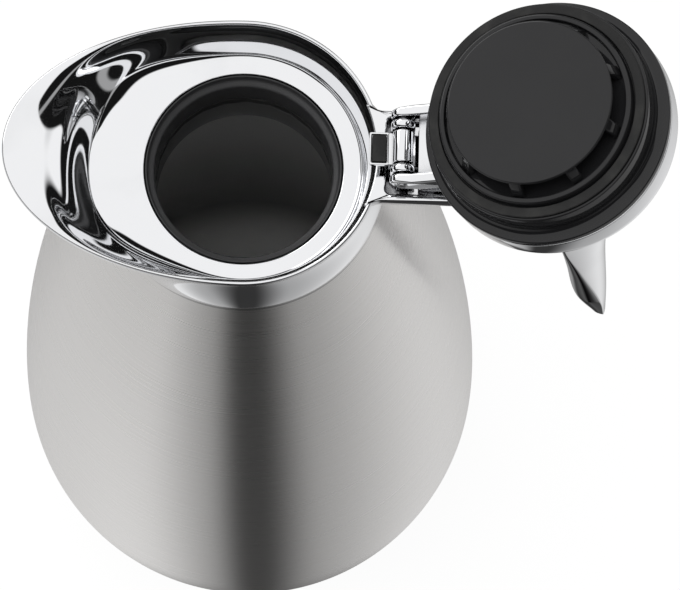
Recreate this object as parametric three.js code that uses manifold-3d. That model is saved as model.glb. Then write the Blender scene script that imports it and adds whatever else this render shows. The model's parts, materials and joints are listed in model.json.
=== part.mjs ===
// Insulated jug with a hinged lid: steel body, glass vacuum flask, chrome pouring collar and open handle.
// Millimetres, +Z up, origin at the middle of the base on the table. The spout points to -X,
// the handle to +X.
import * as THREE from 'three';
import { mergeVertices } from 'three/addons/utils/BufferGeometryUtils.js';
import Module from 'manifold-3d';

const wasm = await Module();
wasm.setup();

// Fits
const seatGap = 0.3; // between two pieces that rest on each other
const pinGap = 0.3; // round the hinge pin
const knuckleGap = 0.3; // between neighbours along the hinge pin
const lidGap = 1.0; // between the closed lid and the top of the bowl's wall

// Steel body; names that end in Z are heights above the table
const equatorRadius = 63.3;
const equatorZ = 52.4;
const bodyWall = 1.0;
const footRadius = 47.5;
const footZ = 4.0;
const footPullUp = 22; // how far the lower half stays upright under the equator
const footPullOut = 8.5; // how far the lower half reaches out above the foot
const footRound = 7;
const shoulderLean = 20.5; // degrees off upright where the body leaves the collar
const shoulderPull = 68.9;
const equatorPull = 27.8;

// Pouring collar, heights over the floor of its bowl
const floorZ = 240;
const mouthStep = 2.6; // the mouth's hole is this much wider than the throat
const bowlFloorWidth = 3.5;
const bowlFlare = 1.5;
const rimWidth = 3.0;
const rimHeight = 13;
const rimRound = 0.7;
const crestDrop = 3.0;
const spoutFloor = 9.0;
const spoutWall = 7.5;
const spoutLip = 13.0;
const lipPinch = 3; // how fast the lip narrows from the spout to the sides
const spoutCrestDrop = 5.5;
const mouthSeatWall = 0.9; // collar floor under the mouth ring's seat
const skirtFlare = 1.2;
const skirtDrop = 5.2;
const skirtWall = 1.2;

// Curves of the collar's section, as shares of the run or rise that they cross
const floorEase = 0.12;
const wallLean = 0.4;
const wallLift = 0.6;
const lipStart = 0.2;
const lipLift = 0.5;
const lipReach = 0.45;
const lipFall = 0.12;
const noseTuck = 0.3;
const spoutTuck = 0.55;
const spoutFall = 0.42;
const neckTuck = 0.1;
const neckRise = 0.25;

// Neck: black mouth ring, clamp ring and gasket over the flask
const throatRadius = 21.4;
const throatDepth = 11;
const ledgeTop = 1.7; // the ledge that narrows the mouth to the throat, below the bowl's floor
const ledgeBottom = 2.6;
const ledgeWidth = 1.5;
const mouthLip = 0.6; // top edge of the mouth ring, from the hole inwards
const mouthFlange = 2.4;
const mouthSink = 0.1; // mouth ring below the bowl's floor
const mouthSealHeight = 0.5;
const sleeveWall = 1.0;
const clampHeight = 4.4;
const clampWidth = 7.9;
const neckOpening = 3.0; // steel neck stands off the mouth ring's sleeve by this much
const gasketHeight = 2.3;

// Glass flask
const glassWall = 1.4;
const vacuumGap = 2.2;
const flaskRoom = 6; // between the steel body and the flask
const flaskNeckLength = 9;
const flaskShoulder = 12;
const flaskBottomZ = 10;
const flaskSquare = 2.8; // 2 is a round bottom, more is squarer
const pumpTipRadius = 2; // the sealed glass tip under the flask
const pumpTipLength = 3;

// Base
const baseFloor = 3;
const baseChamfer = 1.2;
const baseUpstand = 8;
const baseUpstandWall = 1.6;
const cushionRadius = 30;
const cushionHole = 6;

// Hinge tray on the collar and the pin
const trayLength = 27;
const trayHalfWidth = 11.2;
const trayEndHalfWidth = 11.0;
const trayFillet = 3.0;
const trayDepth = 7;
const trayLip = 3.4; // depth of the tray's overhanging edge
const trayOverhang = 1.2;
const trayFloor = 3;
const trayEdge = 1.7;
const pocketEnd = 3.5;
const pinStandoff = 4.6;
const pinRise = 6;
const pinRadius = 1.2;
const barrelHalf = 3.9;
const lugThickness = 2.6;
const lugRadius = 2.9;
const earThickness = 2.6;
const earRadius = 3.0;

// Thumb lever
const barrelRadius = 2.4;
const fingerLength = 7.9;
const fingerThickness = 1.1;
const fingerSink = 1.0;
const fingerHalfWidth = 4.0;
const fingerPlate = 4.7; // length of its wide end
const bumperEdge = 0.45; // steel left round the bumper
const bumperSink = 0.3;
const bumperThickness = 0.5;
const padLength = 17;
const padStart = 3.6;
const padHalfWidth = 6.4;
const padThickness = 1.6;
const padSink = 3.4;
const armRoot = 0.5; // where the pad's arm leaves the barrel, as shares of its radius
const armBack = 0.9;

// Lid, heights over its flange face when it is closed
const lidOpenAngle = 160.5;
const lidSeatHeight = 9.0;
const lidBand = 7.3;
const lidDome = 13;
const lidWall = 1.1;
const lidLip = 0.3;
const flangeThickness = 2.0;
const stepClearance = 1.5; // between the step of the plug and the bowl's wall
const stepDepth = 7.7;
const plugClearance = 1.1;
const plugTaper = 0.3;
const plugEnd = 10.2;
const plugWall = 2.6;
const plugRound = 0.5;
const plugRim = 1.3;
const plugPlate = 1.8;
const recessDepth = 1.6;
const discDepth = 14.8;
const discTaper = 1.6;
const discThickness = 1.4;
const discLegs = 9;
const legWidth = 2.8;
const legThickness = 2.0;
const sealWidth = 2.2;
const sealHeight = 0.7;
const postRadius = 4;
const bridgeRise = 1.6;
const bridgeThickness = 1.5;
const bridgeStart = 3.4;
const armLength = 15;
const armDrop = 2.5;

// Screws
const screwRadius = 1.4;
const screwHeadRadius = 2.8;
const screwHeadHeight = 1.7;
const screwBite = 2.2;
const lidScrewBite = 9;
const screwCrown = 0.7; // flat of a screw's head, as a share of the head
const screwHole = screwRadius + seatGap;

// Handle: heights over the bowl floor, lengths from the end of the tray
const tongueLength = 16;
const tongueHalfWidth = 8;
const tongueThickness = 3.2;
const screwSpacing = 8;
const handleStations = [
  { inner: [0, 2.4], outer: [0, 12.8], half: 10.4, crease: 0.5, bulge: 7 },
  { inner: [8.5, -1.2], outer: [12.5, 10.8], half: 10.4, crease: 0.42, bulge: 5 },
  { inner: [15, -13], outer: [24, 1.5], half: 10.0, crease: 0.3, bulge: 3.6 },
  { inner: [17.2, -32], outer: [28.4, -23], half: 9.0, crease: 0.2, bulge: 2.8 },
  { inner: [19.4, -63], outer: [30.8, -56], half: 7.2, crease: 0.32, bulge: 2.3 },
  { inner: [25.2, -96], outer: [33.8, -92], half: 4.8, crease: 0.52, bulge: 2.1 },
  { inner: [32.0, -115.5], outer: [35.6, -117], half: 1.8, crease: 0.55, bulge: 2 },
];

// Facets
const roundSteps = 36;
const innerSteps = 24;
const collarSteps = 48;
const curveSteps = 8;
const domeSteps = 8;
const handleRings = 14;
const handleSide = 5; // points on each half of a handle section
const smallSteps = 12;

// Sizes that follow from those above
const deg = Math.PI / 180;
const mouthRadius = throatRadius + mouthStep;
const bowlRadius = mouthRadius + bowlFloorWidth;
const lidRadius = bowlRadius + bowlFlare;
const crestRadius = lidRadius + lidGap;
const rimRadius = crestRadius + rimWidth;
const bowlReach = bowlRadius + spoutFloor;
const rimReach = bowlReach + spoutWall + spoutLip;
const skirtRadius = rimRadius + skirtFlare;
const neckRadius = skirtRadius - skirtWall - seatGap;
const mouthSeatDepth = mouthSink + mouthFlange + mouthSealHeight + 2 * seatGap;
const collarFloor = mouthSeatDepth + mouthSeatWall;
const shoulderZ = floorZ - collarFloor - seatGap;
const sleeveRadius = throatRadius + sleeveWall;
const sleeveBottomZ = floorZ - throatDepth;
const neckHole = sleeveRadius + neckOpening;
const gasketTopZ = sleeveBottomZ - seatGap;
const flaskLipZ = gasketTopZ - gasketHeight - seatGap;
const flaskNeckRadius = throatRadius + 2 * glassWall + vacuumGap;
const flaskRadius = equatorRadius - bodyWall - flaskRoom;
const pinX = rimRadius + pinStandoff;
const pinZ = floorZ + rimHeight + pinRise;
const trayEndX = rimRadius + trayLength;
const trayTopZ = floorZ + rimHeight;
const trayBottomZ = trayTopZ - trayDepth;
const pocketFloorZ = trayBottomZ + trayFloor;
const boreRadius = pinRadius + pinGap;
const lugInner = barrelHalf + knuckleGap;
const lugOuter = lugInner + lugThickness;
const earInner = lugOuter + knuckleGap;
const earOuter = earInner + earThickness;
const stepRadius = bowlRadius - stepClearance;
const plugRadius = mouthRadius - plugClearance;
const plugEndRadius = plugRadius - plugTaper;
const recessRadius = plugEndRadius - plugRim;
const recessZ = recessDepth - plugEnd; // over the flange face, as for the other heights of the lid
const plateTopZ = recessZ + plugPlate;
const legRadius = recessRadius - seatGap;
const discRadius = legRadius - discTaper;
const shellZ = flangeThickness + seatGap;
const shellInner = lidRadius - lidWall;

// Geometry helpers

// A cubic curve between two points of a profile, as points
function curve(a, b, c, d, steps = curveSteps) {
  const ends = [a, b, c, d].map(([x, y]) => new THREE.Vector2(x, y));
  return new THREE.CubicBezierCurve(...ends).getPoints(steps);
}

// Merges shared points, drops collapsed triangles and turns the faces outwards
function closeUp(source) {
  const bare = source.clone();
  bare.deleteAttribute('normal');
  bare.deleteAttribute('uv');
  const merged = mergeVertices(bare, 1e-4);
  const at = merged.attributes.position;
  const index = merged.index.array;
  const kept = [];
  let volume = 0;
  const [p, q, r] = [new THREE.Vector3(), new THREE.Vector3(), new THREE.Vector3()];
  for (let i = 0; i < index.length; i += 3) {
    const [a, b, c] = [index[i], index[i + 1], index[i + 2]];
    if (a === b || b === c || c === a) continue;
    kept.push([a, b, c]);
    p.fromBufferAttribute(at, a);
    q.fromBufferAttribute(at, b);
    r.fromBufferAttribute(at, c);
    volume += p.dot(q.cross(r));
  }
  const outward = volume > 0 ? kept : kept.map(([a, b, c]) => [a, c, b]);
  merged.setIndex(outward.flat());
  return merged;
}

// A solid of revolution about Z from a profile of [radius, height] points
function revolve(profile, steps = roundSteps) {
  const points = profile.map((p) => (p.isVector2 ? p : new THREE.Vector2(p[0], p[1])));
  const onAxis = points[0].x === 0 && points[points.length - 1].x === 0;
  if (!onAxis) points.push(points[0].clone());
  const geometry = new THREE.LatheGeometry(points, steps);
  geometry.rotateX(Math.PI / 2);
  return closeUp(geometry);
}

function solid(geometry) {
  const tidy = closeUp(geometry);
  const vertProperties = new Float32Array(tidy.attributes.position.array);
  const triVerts = new Uint32Array(tidy.index.array);
  return new wasm.Manifold(new wasm.Mesh({ numProp: 3, vertProperties, triVerts }));
}

function geometryOf(body) {
  const mesh = body.getMesh();
  const geometry = new THREE.BufferGeometry();
  geometry.setAttribute('position', new THREE.BufferAttribute(new Float32Array(mesh.vertProperties), 3));
  geometry.setIndex(new THREE.BufferAttribute(new Uint32Array(mesh.triVerts), 1));
  return geometry;
}

function block(x0, x1, halfY, z0, z1) {
  const geometry = new THREE.BoxGeometry(x1 - x0, 2 * halfY, z1 - z0);
  geometry.translate((x0 + x1) / 2, 0, (z0 + z1) / 2);
  return solid(geometry);
}

// A round bar along Y
function barY(radius, y0, y1, x, z, steps = smallSteps) {
  const geometry = new THREE.CylinderGeometry(radius, radius, y1 - y0, steps);
  geometry.translate(x, (y0 + y1) / 2, z);
  return solid(geometry);
}

// A round bar along Z
function barZ(radius, z0, z1, x = 0, steps = smallSteps) {
  const geometry = new THREE.CylinderGeometry(radius, radius, z1 - z0, steps);
  geometry.rotateX(Math.PI / 2);
  geometry.translate(x, 0, (z0 + z1) / 2);
  return solid(geometry);
}

// An outline drawn in X and Z, with thickness along Y
function plateY(shape, y0, y1) {
  const options = { depth: y1 - y0, bevelEnabled: false, curveSegments: curveSteps };
  const geometry = new THREE.ExtrudeGeometry(shape, options);
  geometry.rotateX(Math.PI / 2);
  geometry.translate(0, y1, 0);
  return solid(geometry);
}

function outline(points) {
  return new THREE.Shape(points.map(([x, y]) => new THREE.Vector2(x, y)));
}

// Joins rings of equally many points; the ends are closed unless the rings meet again
function loft(rings, closed) {
  const count = rings[0].length;
  const position = rings.flat().flatMap((p) => [p.x, p.y, p.z]);
  const index = [];
  const spans = closed ? rings.length : rings.length - 1;
  for (let i = 0; i < spans; i += 1) {
    const here = i * count;
    const next = ((i + 1) % rings.length) * count;
    for (let j = 0; j < count; j += 1) {
      const k = (j + 1) % count;
      index.push(here + j, here + k, next + k, here + j, next + k, next + j);
    }
  }
  if (!closed) {
    const last = (rings.length - 1) * count;
    for (let j = 1; j < count - 1; j += 1) {
      index.push(0, j + 1, j, last, last + j, last + j + 1);
    }
  }
  const geometry = new THREE.BufferGeometry();
  geometry.setAttribute('position', new THREE.Float32BufferAttribute(position, 3));
  geometry.setIndex(index);
  return closeUp(geometry);
}

// Finishes
function finish(color, roughness, metalness) {
  return new THREE.MeshStandardMaterial({ color, roughness, metalness });
}
const brushedSteel = () => finish(0xb9b5b1, 0.38, 1);
const chrome = () => finish(0xe4e5e8, 0.06, 1);
const blackPlastic = () => finish(0x0d0d0e, 0.22, 0);
const blackRubber = () => finish(0x161617, 0.7, 0);
const clearGlass = () => finish(0xc9cccb, 0.05, 0.6);
const greyPlastic = () => finish(0x3a3b3c, 0.5, 0);
const whiteFoam = () => finish(0xe9e6dc, 0.9, 0);
const screwSteel = () => finish(0x9fa2a5, 0.3, 1);

const jug = new THREE.Group();

function piece(name, geometry, material, parent = jug) {
  const mesh = new THREE.Mesh(geometry, material);
  mesh.name = name;
  parent.add(mesh);
}

// Steel body

// The body's outer line, from the collar down to the equator and on to the foot
function bodyLine() {
  const lean = shoulderLean * deg;
  const shoulder = [neckRadius, shoulderZ];
  const shoulderHandle = [
    neckRadius + shoulderPull * Math.sin(lean),
    shoulderZ - shoulderPull * Math.cos(lean),
  ];
  const equator = [equatorRadius, equatorZ];
  const upper = curve(shoulder, shoulderHandle, [equatorRadius, equatorZ + equatorPull], equator);
  const lower = curve(
    equator,
    [equatorRadius, equatorZ - footPullUp],
    [footRadius + footPullOut, footZ + footRound],
    [footRadius, footZ],
    6,
  );
  return { upper, lower: lower.slice(1) };
}

function outerShell() {
  const { upper, lower } = bodyLine();
  const outside = [...upper, ...lower];
  const inside = outside.slice(1).map((p) => new THREE.Vector2(p.x - bodyWall, p.y));
  const neck = [neckRadius - bodyWall, shoulderZ - bodyWall];
  return revolve([
    [neckHole, shoulderZ],
    ...outside,
    ...inside.reverse(),
    neck,
    [neckHole, shoulderZ - bodyWall],
  ]);
}

function baseCap() {
  const upstand = footRadius - bodyWall - seatGap;
  const seatZ = footZ - seatGap;
  return revolve([
    [0, 0],
    [footRadius - baseChamfer, 0],
    [footRadius, baseChamfer],
    [footRadius, seatZ],
    [upstand, seatZ],
    [upstand, seatZ + baseUpstand],
    [upstand - baseUpstandWall, seatZ + baseUpstand],
    [upstand - baseUpstandWall, baseFloor],
    [0, baseFloor],
  ]);
}

// Height of the flask's bottom at a radius
function flaskBottomAt(radius) {
  const drop = equatorZ - flaskBottomZ;
  return equatorZ - drop * (1 - (radius / flaskRadius) ** flaskSquare) ** (1 / flaskSquare);
}

function flaskCushion() {
  const top = [0, 1, 2, 3, 4].map((i) => {
    const radius = cushionHole + (cushionRadius - cushionHole) * (i / 4);
    return [radius, flaskBottomAt(radius) - seatGap];
  });
  const bottomZ = baseFloor + seatGap;
  return revolve([[cushionHole, bottomZ], ...top, [cushionRadius, bottomZ]], innerSteps);
}

// One skin of the flask, inset from its outside, from the bottom up to the lip
function flaskSkin(inset, hole) {
  const bottom = [0, 1, 2, 3].map((i) => {
    const turn = (i / 4) * (Math.PI / 2);
    const out = Math.sin(turn) ** (2 / flaskSquare);
    const down = Math.cos(turn) ** (2 / flaskSquare);
    return [Math.max(hole, (flaskRadius - inset) * out), equatorZ - (equatorZ - flaskBottomZ - inset) * down];
  });
  const shoulderTop = flaskLipZ - flaskNeckLength - flaskShoulder;
  const side = bodyLine().upper
    .filter((p) => p.y < shoulderTop)
    .map((p) => [p.x - bodyWall - flaskRoom - inset, p.y])
    .reverse();
  const neck = flaskNeckRadius - inset;
  return [...bottom, ...side, [neck, flaskLipZ - flaskNeckLength]];
}

const flaskDepths = [0, glassWall, glassWall + vacuumGap, 2 * glassWall + vacuumGap];

// The outer bottle ends in a sealed tip below and stops under the inner bottle's lip
function flaskOuter() {
  const [outsideDepth, backDepth] = flaskDepths;
  const topZ = flaskLipZ - glassWall - seatGap;
  return revolve(
    [
      [0, flaskBottomZ - pumpTipLength],
      [pumpTipRadius / 2, flaskBottomZ - pumpTipLength],
      ...flaskSkin(outsideDepth, pumpTipRadius),
      [flaskNeckRadius - outsideDepth, topZ],
      [flaskNeckRadius - backDepth, topZ],
      ...flaskSkin(backDepth, 0).reverse(),
    ],
    innerSteps,
  );
}

// The inner bottle holds the drink; its lip reaches out over the outer bottle's neck
function flaskInner() {
  const [outsideDepth, , backDepth, insideDepth] = flaskDepths;
  const underLipZ = flaskLipZ - glassWall;
  return revolve(
    [
      ...flaskSkin(insideDepth, 0),
      [flaskNeckRadius - insideDepth, flaskLipZ],
      [flaskNeckRadius - outsideDepth, flaskLipZ],
      [flaskNeckRadius - outsideDepth, underLipZ],
      [flaskNeckRadius - backDepth, underLipZ],
      ...flaskSkin(backDepth, 0).reverse(),
    ],
    innerSteps,
  );
}

// Neck

function mouthRing() {
  const lipZ = floorZ - mouthSink;
  const flangeRadius = mouthRadius;
  const flangeBottomZ = lipZ - mouthFlange;
  return revolve([
    [flangeRadius - mouthLip, lipZ],
    [flangeRadius, lipZ],
    [flangeRadius, flangeBottomZ],
    [sleeveRadius, flangeBottomZ],
    [sleeveRadius, sleeveBottomZ],
    [throatRadius, sleeveBottomZ],
    [throatRadius, floorZ - ledgeBottom],
    [throatRadius + ledgeWidth, floorZ - ledgeTop],
  ]);
}

function mouthSeal() {
  const inner = sleeveRadius + seatGap;
  const topZ = floorZ - mouthSink - mouthFlange - seatGap;
  return revolve(
    [
      [inner, topZ],
      [mouthRadius, topZ],
      [mouthRadius, topZ - mouthSealHeight],
      [inner, topZ - mouthSealHeight],
    ],
    innerSteps,
  );
}

function clampRing() {
  const bore = sleeveRadius + seatGap;
  const topZ = shoulderZ - bodyWall - seatGap;
  return revolve(
    [
      [bore, topZ],
      [bore + clampWidth, topZ],
      [bore + clampWidth, topZ - clampHeight],
      [bore, topZ - clampHeight],
    ],
    innerSteps,
  );
}

function neckGasket() {
  const inner = throatRadius;
  return revolve(
    [
      [inner, gasketTopZ],
      [flaskNeckRadius, gasketTopZ],
      [flaskNeckRadius, gasketTopZ - gasketHeight],
      [inner, gasketTopZ - gasketHeight],
    ],
    innerSteps,
  );
}

// Collar

// Radius of a plan outline that is a circle towards the hinge and a long half ellipse towards the spout
function planRadius(angle, side, reach) {
  const along = Math.cos(angle);
  if (along >= 0) return side;
  return 1 / Math.hypot(along / reach, Math.sin(angle) / side);
}

// The collar's cut at one angle: hole, bowl floor, wall, lip, rim, outside and skirt
function collarSection(angle) {
  const spout = Math.min(0, Math.cos(angle)) ** 2;
  const floorEdge = planRadius(angle, bowlRadius, bowlReach);
  const rim = planRadius(angle, rimRadius, rimReach);
  const crest = rim - rimWidth - (spoutLip - rimWidth) * spout ** lipPinch;
  const crestZ = floorZ + rimHeight - crestDrop - (spoutCrestDrop - crestDrop) * spout;
  const rimZ = floorZ + rimHeight;
  const wallRise = crestZ - floorZ;
  const lipRun = rim - rimRound - crest;
  const wall = curve(
    [floorEdge, floorZ],
    [floorEdge + floorEase * (crest - floorEdge), floorZ],
    [crest - wallLean * (crest - floorEdge), floorZ + wallLift * wallRise],
    [crest, crestZ],
    4,
  );
  const lip = curve(
    [crest, crestZ],
    [crest + lipStart * lipRun, crestZ + lipLift * (rimZ - crestZ)],
    [crest + lipReach * lipRun, rimZ - lipFall * (rimZ - crestZ)],
    [rim - rimRound, rimZ],
    4,
  );
  const underZ = rimZ - 2 * rimRound;
  const overhang = rim - rimRadius;
  const outside = curve(
    [rim - noseTuck * rimRound, underZ],
    [rimRadius + spoutTuck * overhang, underZ - spoutFall * rimHeight],
    [rimRadius + neckTuck * overhang, floorZ + neckRise * rimHeight],
    [skirtRadius, floorZ - skirtDrop],
    5,
  );
  const holeRadius = mouthRadius + seatGap;
  const seatRadius = sleeveRadius + seatGap;
  const underFloor = floorZ - collarFloor;
  const skirtInner = skirtRadius - skirtWall;
  return [
    [seatRadius, underFloor],
    [seatRadius, floorZ - mouthSeatDepth],
    [holeRadius, floorZ - mouthSeatDepth],
    [holeRadius, floorZ],
    ...wall.map((p) => [p.x, p.y]),
    ...lip.slice(1).map((p) => [p.x, p.y]),
    [rim, rimZ - rimRound],
    ...outside.map((p) => [p.x, p.y]),
    [skirtInner, floorZ - skirtDrop],
    [skirtInner, underFloor],
  ];
}

function collarBowl() {
  const rings = [];
  for (let i = 0; i < collarSteps; i += 1) {
    const angle = (i / collarSteps) * 2 * Math.PI;
    const place = ([radius, z]) => new THREE.Vector3(radius * Math.cos(angle), radius * Math.sin(angle), z);
    rings.push(collarSection(angle).map(place));
  }
  return solid(loft(rings, true));
}

// The tray that carries hinge and handle grows out of the collar's wall with a fillet on each side
function hingeTray() {
  const rootX = rimRadius - rimWidth / 2;
  const flare = trayHalfWidth + trayFillet;
  const plan = new THREE.Shape();
  plan.moveTo(0, -flare);
  plan.lineTo(Math.sqrt(rootX ** 2 - flare ** 2), -flare);
  plan.quadraticCurveTo(rootX, -trayHalfWidth, rootX + trayFillet, -trayHalfWidth);
  plan.lineTo(trayEndX, -trayEndHalfWidth);
  plan.lineTo(trayEndX, trayEndHalfWidth);
  plan.lineTo(rootX + trayFillet, trayHalfWidth);
  plan.quadraticCurveTo(rootX, trayHalfWidth, Math.sqrt(rootX ** 2 - flare ** 2), flare);
  plan.lineTo(0, flare);
  const slab = new THREE.ExtrudeGeometry(plan, { depth: trayLip, bevelEnabled: false, curveSegments: 5 });
  slab.translate(0, 0, trayTopZ - trayLip);
  const keel = block(0, trayEndX, trayHalfWidth - trayOverhang, trayBottomZ, trayTopZ - rimRound);
  const bowlSpace = barZ(rootX, trayBottomZ - trayDepth, trayTopZ + trayDepth, 0, collarSteps);
  return solid(slab).add(keel).subtract(bowlSpace);
}

function hingeLug() {
  const lug = new THREE.Shape();
  lug.moveTo(pinX - lugRadius, pocketFloorZ - trayFloor / 2);
  lug.lineTo(pinX + lugRadius, pocketFloorZ - trayFloor / 2);
  lug.lineTo(pinX + lugRadius, pinZ);
  lug.absarc(pinX, pinZ, lugRadius, 0, Math.PI, false);
  return lug;
}

function handleScrewX(i) {
  return trayEndX - tongueLength / 2 + (i - 0.5) * screwSpacing;
}

function collar() {
  const pocket = block(
    rimRadius + rimRound,
    trayEndX - pocketEnd,
    trayHalfWidth - trayEdge,
    pocketFloorZ,
    trayTopZ + trayDepth,
  );
  const lug = hingeLug();
  let body = collarBowl().add(hingeTray()).subtract(pocket);
  body = body.add(plateY(lug, lugInner, lugOuter)).add(plateY(lug, -lugOuter, -lugInner));
  body = body.subtract(barY(boreRadius, -lugOuter - seatGap, lugOuter + seatGap, pinX, pinZ));
  for (const i of [0, 1]) {
    const hole = barZ(screwHole, trayBottomZ - seatGap, trayBottomZ + screwBite + seatGap, handleScrewX(i));
    body = body.subtract(hole);
  }
  return geometryOf(body);
}

// Handle

// One lens-shaped section across the handle, from the inner edge to the outer edge, creased on each side
function handleRing(station) {
  const { inner, outer, half, crease, bulge } = station;
  const points = [];
  const add = (share, across) => {
    const x = inner[0] + (outer[0] - inner[0]) * share;
    const z = inner[1] + (outer[1] - inner[1]) * share;
    points.push(new THREE.Vector3(trayEndX + seatGap + x, across * half, floorZ + z));
  };
  for (let i = -handleSide; i < handleSide; i += 1) {
    const across = i / handleSide;
    add(crease + (1 - crease) * (1 - Math.abs(across) ** bulge), across);
  }
  for (let i = handleSide; i > -handleSide; i -= 1) {
    const across = i / handleSide;
    add(crease * Math.abs(across) ** bulge, across);
  }
  return points;
}

// Sizes between the stations follow a smooth curve through them
function handleStationAt(share) {
  const smooth = (pick) => {
    const points = handleStations.map((s) => new THREE.Vector3(...pick(s)));
    return new THREE.CatmullRomCurve3(points).getPoint(share);
  };
  const inner = smooth((s) => [...s.inner, 0]);
  const outer = smooth((s) => [...s.outer, 0]);
  const rest = smooth((s) => [s.half, s.crease, s.bulge]);
  const edges = { inner: [inner.x, inner.y], outer: [outer.x, outer.y] };
  return { ...edges, half: rest.x, crease: rest.y, bulge: rest.z };
}

function handle() {
  const rings = [];
  for (let i = 0; i < handleRings; i += 1) {
    rings.push(handleRing(handleStationAt(i / (handleRings - 1))));
  }
  const tongueTopZ = trayBottomZ - seatGap;
  const tongue = block(
    trayEndX - tongueLength,
    trayEndX + 2 * tongueThickness,
    tongueHalfWidth,
    tongueTopZ - tongueThickness,
    tongueTopZ,
  );
  let body = solid(loft(rings, false)).add(tongue);
  for (const i of [0, 1]) {
    const hole = barZ(screwHole, tongueTopZ - 2 * tongueThickness, tongueTopZ + seatGap, handleScrewX(i));
    body = body.subtract(hole);
  }
  return geometryOf(body);
}

// A screw with its head at the foot and its shank up along Z
function screw(headZ, shankLength) {
  const neckZ = headZ + screwHeadHeight;
  return revolve(
    [
      [0, headZ],
      [screwCrown * screwHeadRadius, headZ],
      [screwHeadRadius, headZ + screwHeadHeight / 2],
      [screwHeadRadius, neckZ],
      [screwRadius, neckZ],
      [screwRadius, neckZ + shankLength],
      [0, neckZ + shankLength],
    ],
    smallSteps,
  );
}

function handleScrew(i) {
  const tongueBottomZ = trayBottomZ - seatGap - tongueThickness;
  const shank = 2 * seatGap + tongueThickness + screwBite;
  const geometry = screw(tongueBottomZ - seatGap - screwHeadHeight, shank);
  geometry.translate(handleScrewX(i), 0, 0);
  return geometry;
}

function hingePin() {
  const geometry = new THREE.CylinderGeometry(pinRadius, pinRadius, 2 * earOuter, smallSteps);
  geometry.translate(pinX, 0, pinZ);
  return closeUp(geometry);
}

// Thumb lever: a finger under the lid's bridge, a barrel on the pin and a thumb pad behind, from the pin
function thumbLever() {
  const neck = block(-fingerLength + fingerPlate, 0, barrelHalf, -fingerSink - fingerThickness, -fingerSink);
  const plate = block(
    -fingerLength,
    -fingerLength + fingerPlate,
    fingerHalfWidth,
    -fingerSink - fingerThickness,
    -fingerSink,
  );
  const padTop = -padSink + padThickness / 2;
  const arm = outline([
    [-barrelRadius * armRoot, padTop],
    [-barrelRadius * armRoot, -barrelRadius * armRoot],
    [barrelRadius * armBack, -barrelRadius * armRoot],
    [padStart, padTop],
    [padStart + padThickness, padTop],
    [padStart + padThickness, padTop - padThickness],
    [0, padTop - padThickness],
  ]);
  const pad = block(padStart, padLength, padHalfWidth, padTop - padThickness, padTop);
  const body = barY(barrelRadius, -barrelHalf, barrelHalf, 0, 0)
    .add(neck)
    .add(plate)
    .add(plateY(arm, -barrelHalf, barrelHalf))
    .add(pad)
    .subtract(barY(boreRadius, -2 * barrelHalf, 2 * barrelHalf, 0, 0))
    .subtract(bumperSpace(bumperEdge, bumperSink + seatGap, seatGap));
  return geometryOf(body);
}

// A box let into the top of the finger's plate, inside an edge, from a depth up to a height above the plate
function bumperSpace(edge, depth, height) {
  return block(
    -fingerLength + edge,
    -fingerLength + fingerPlate - edge,
    fingerHalfWidth - edge,
    -fingerSink - depth,
    -fingerSink + height,
  );
}

// The bumper that meets the lid's bridge
function fingerBumper() {
  return geometryOf(bumperSpace(bumperEdge + seatGap, bumperSink, bumperThickness - bumperSink));
}

// Lid, drawn closed: its axis stands one pin distance from the hinge, z = 0 is the face of its flange

function domeLine(radius, height, steps) {
  const points = [];
  for (let i = 0; i <= steps; i += 1) {
    const turn = (i / steps) * (Math.PI / 2);
    points.push([radius * Math.cos(turn), lidBand + height * Math.sin(turn)]);
  }
  return points;
}

function lidShell() {
  const postBottom = plateTopZ + seatGap;
  const innerDome = domeLine(shellInner, lidDome - lidWall, domeSteps - 2);
  const postTop = lidBand + (lidDome - lidWall) * Math.sqrt(1 - (postRadius / shellInner) ** 2);
  const outerDome = domeLine(lidRadius, lidDome, domeSteps);
  outerDome[outerDome.length - 1][0] = 0;
  return revolve([
    ...outerDome.reverse(),
    [lidRadius, shellZ + lidLip],
    [lidRadius - lidLip, shellZ],
    [shellInner, shellZ],
    ...innerDome.slice(0, -1).filter(([radius]) => radius > postRadius),
    [postRadius, postTop],
    [postRadius, postBottom],
    [screwHole, postBottom],
    [screwHole, postBottom + lidScrewBite + seatGap],
    [0, postBottom + lidScrewBite + seatGap],
  ]);
}

// The space that the lid takes up, with the gap round it that its bracket keeps
function lidSpace() {
  const side = lidRadius + seatGap;
  const dome = domeLine(side, lidDome + seatGap, domeSteps);
  dome[dome.length - 1][0] = 0;
  return solid(revolve([[0, -discDepth], [side, -discDepth], ...dome]));
}

// Hinge bracket on the back of the lid: an arm on each side and the bridge between them, drawn from the pin
function lidBracket() {
  const pinHeight = pinZ - floorZ - lidSeatHeight;
  const arm = new THREE.Shape();
  const top = bridgeRise + bridgeThickness;
  arm.moveTo(-armLength, -armDrop);
  arm.lineTo(-earRadius, -armDrop);
  arm.lineTo(0, -earRadius);
  arm.absarc(0, 0, earRadius, -Math.PI / 2, Math.PI / 2, false);
  arm.lineTo(-bridgeStart, top);
  arm.lineTo(-armLength, top);
  const bridge = outline([
    [-bridgeStart, bridgeRise],
    [-bridgeStart, top],
    [-armLength, top],
    [-armLength, bridgeRise],
  ]);
  const body = plateY(arm, earInner, earOuter)
    .add(plateY(arm, -earOuter, -earInner))
    .add(plateY(bridge, -earInner - earThickness / 2, earInner + earThickness / 2))
    .subtract(barY(boreRadius, -2 * earOuter, 2 * earOuter, 0, 0))
    .translate([pinX, 0, pinHeight]);
  return geometryOf(body.subtract(lidSpace()));
}

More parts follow.
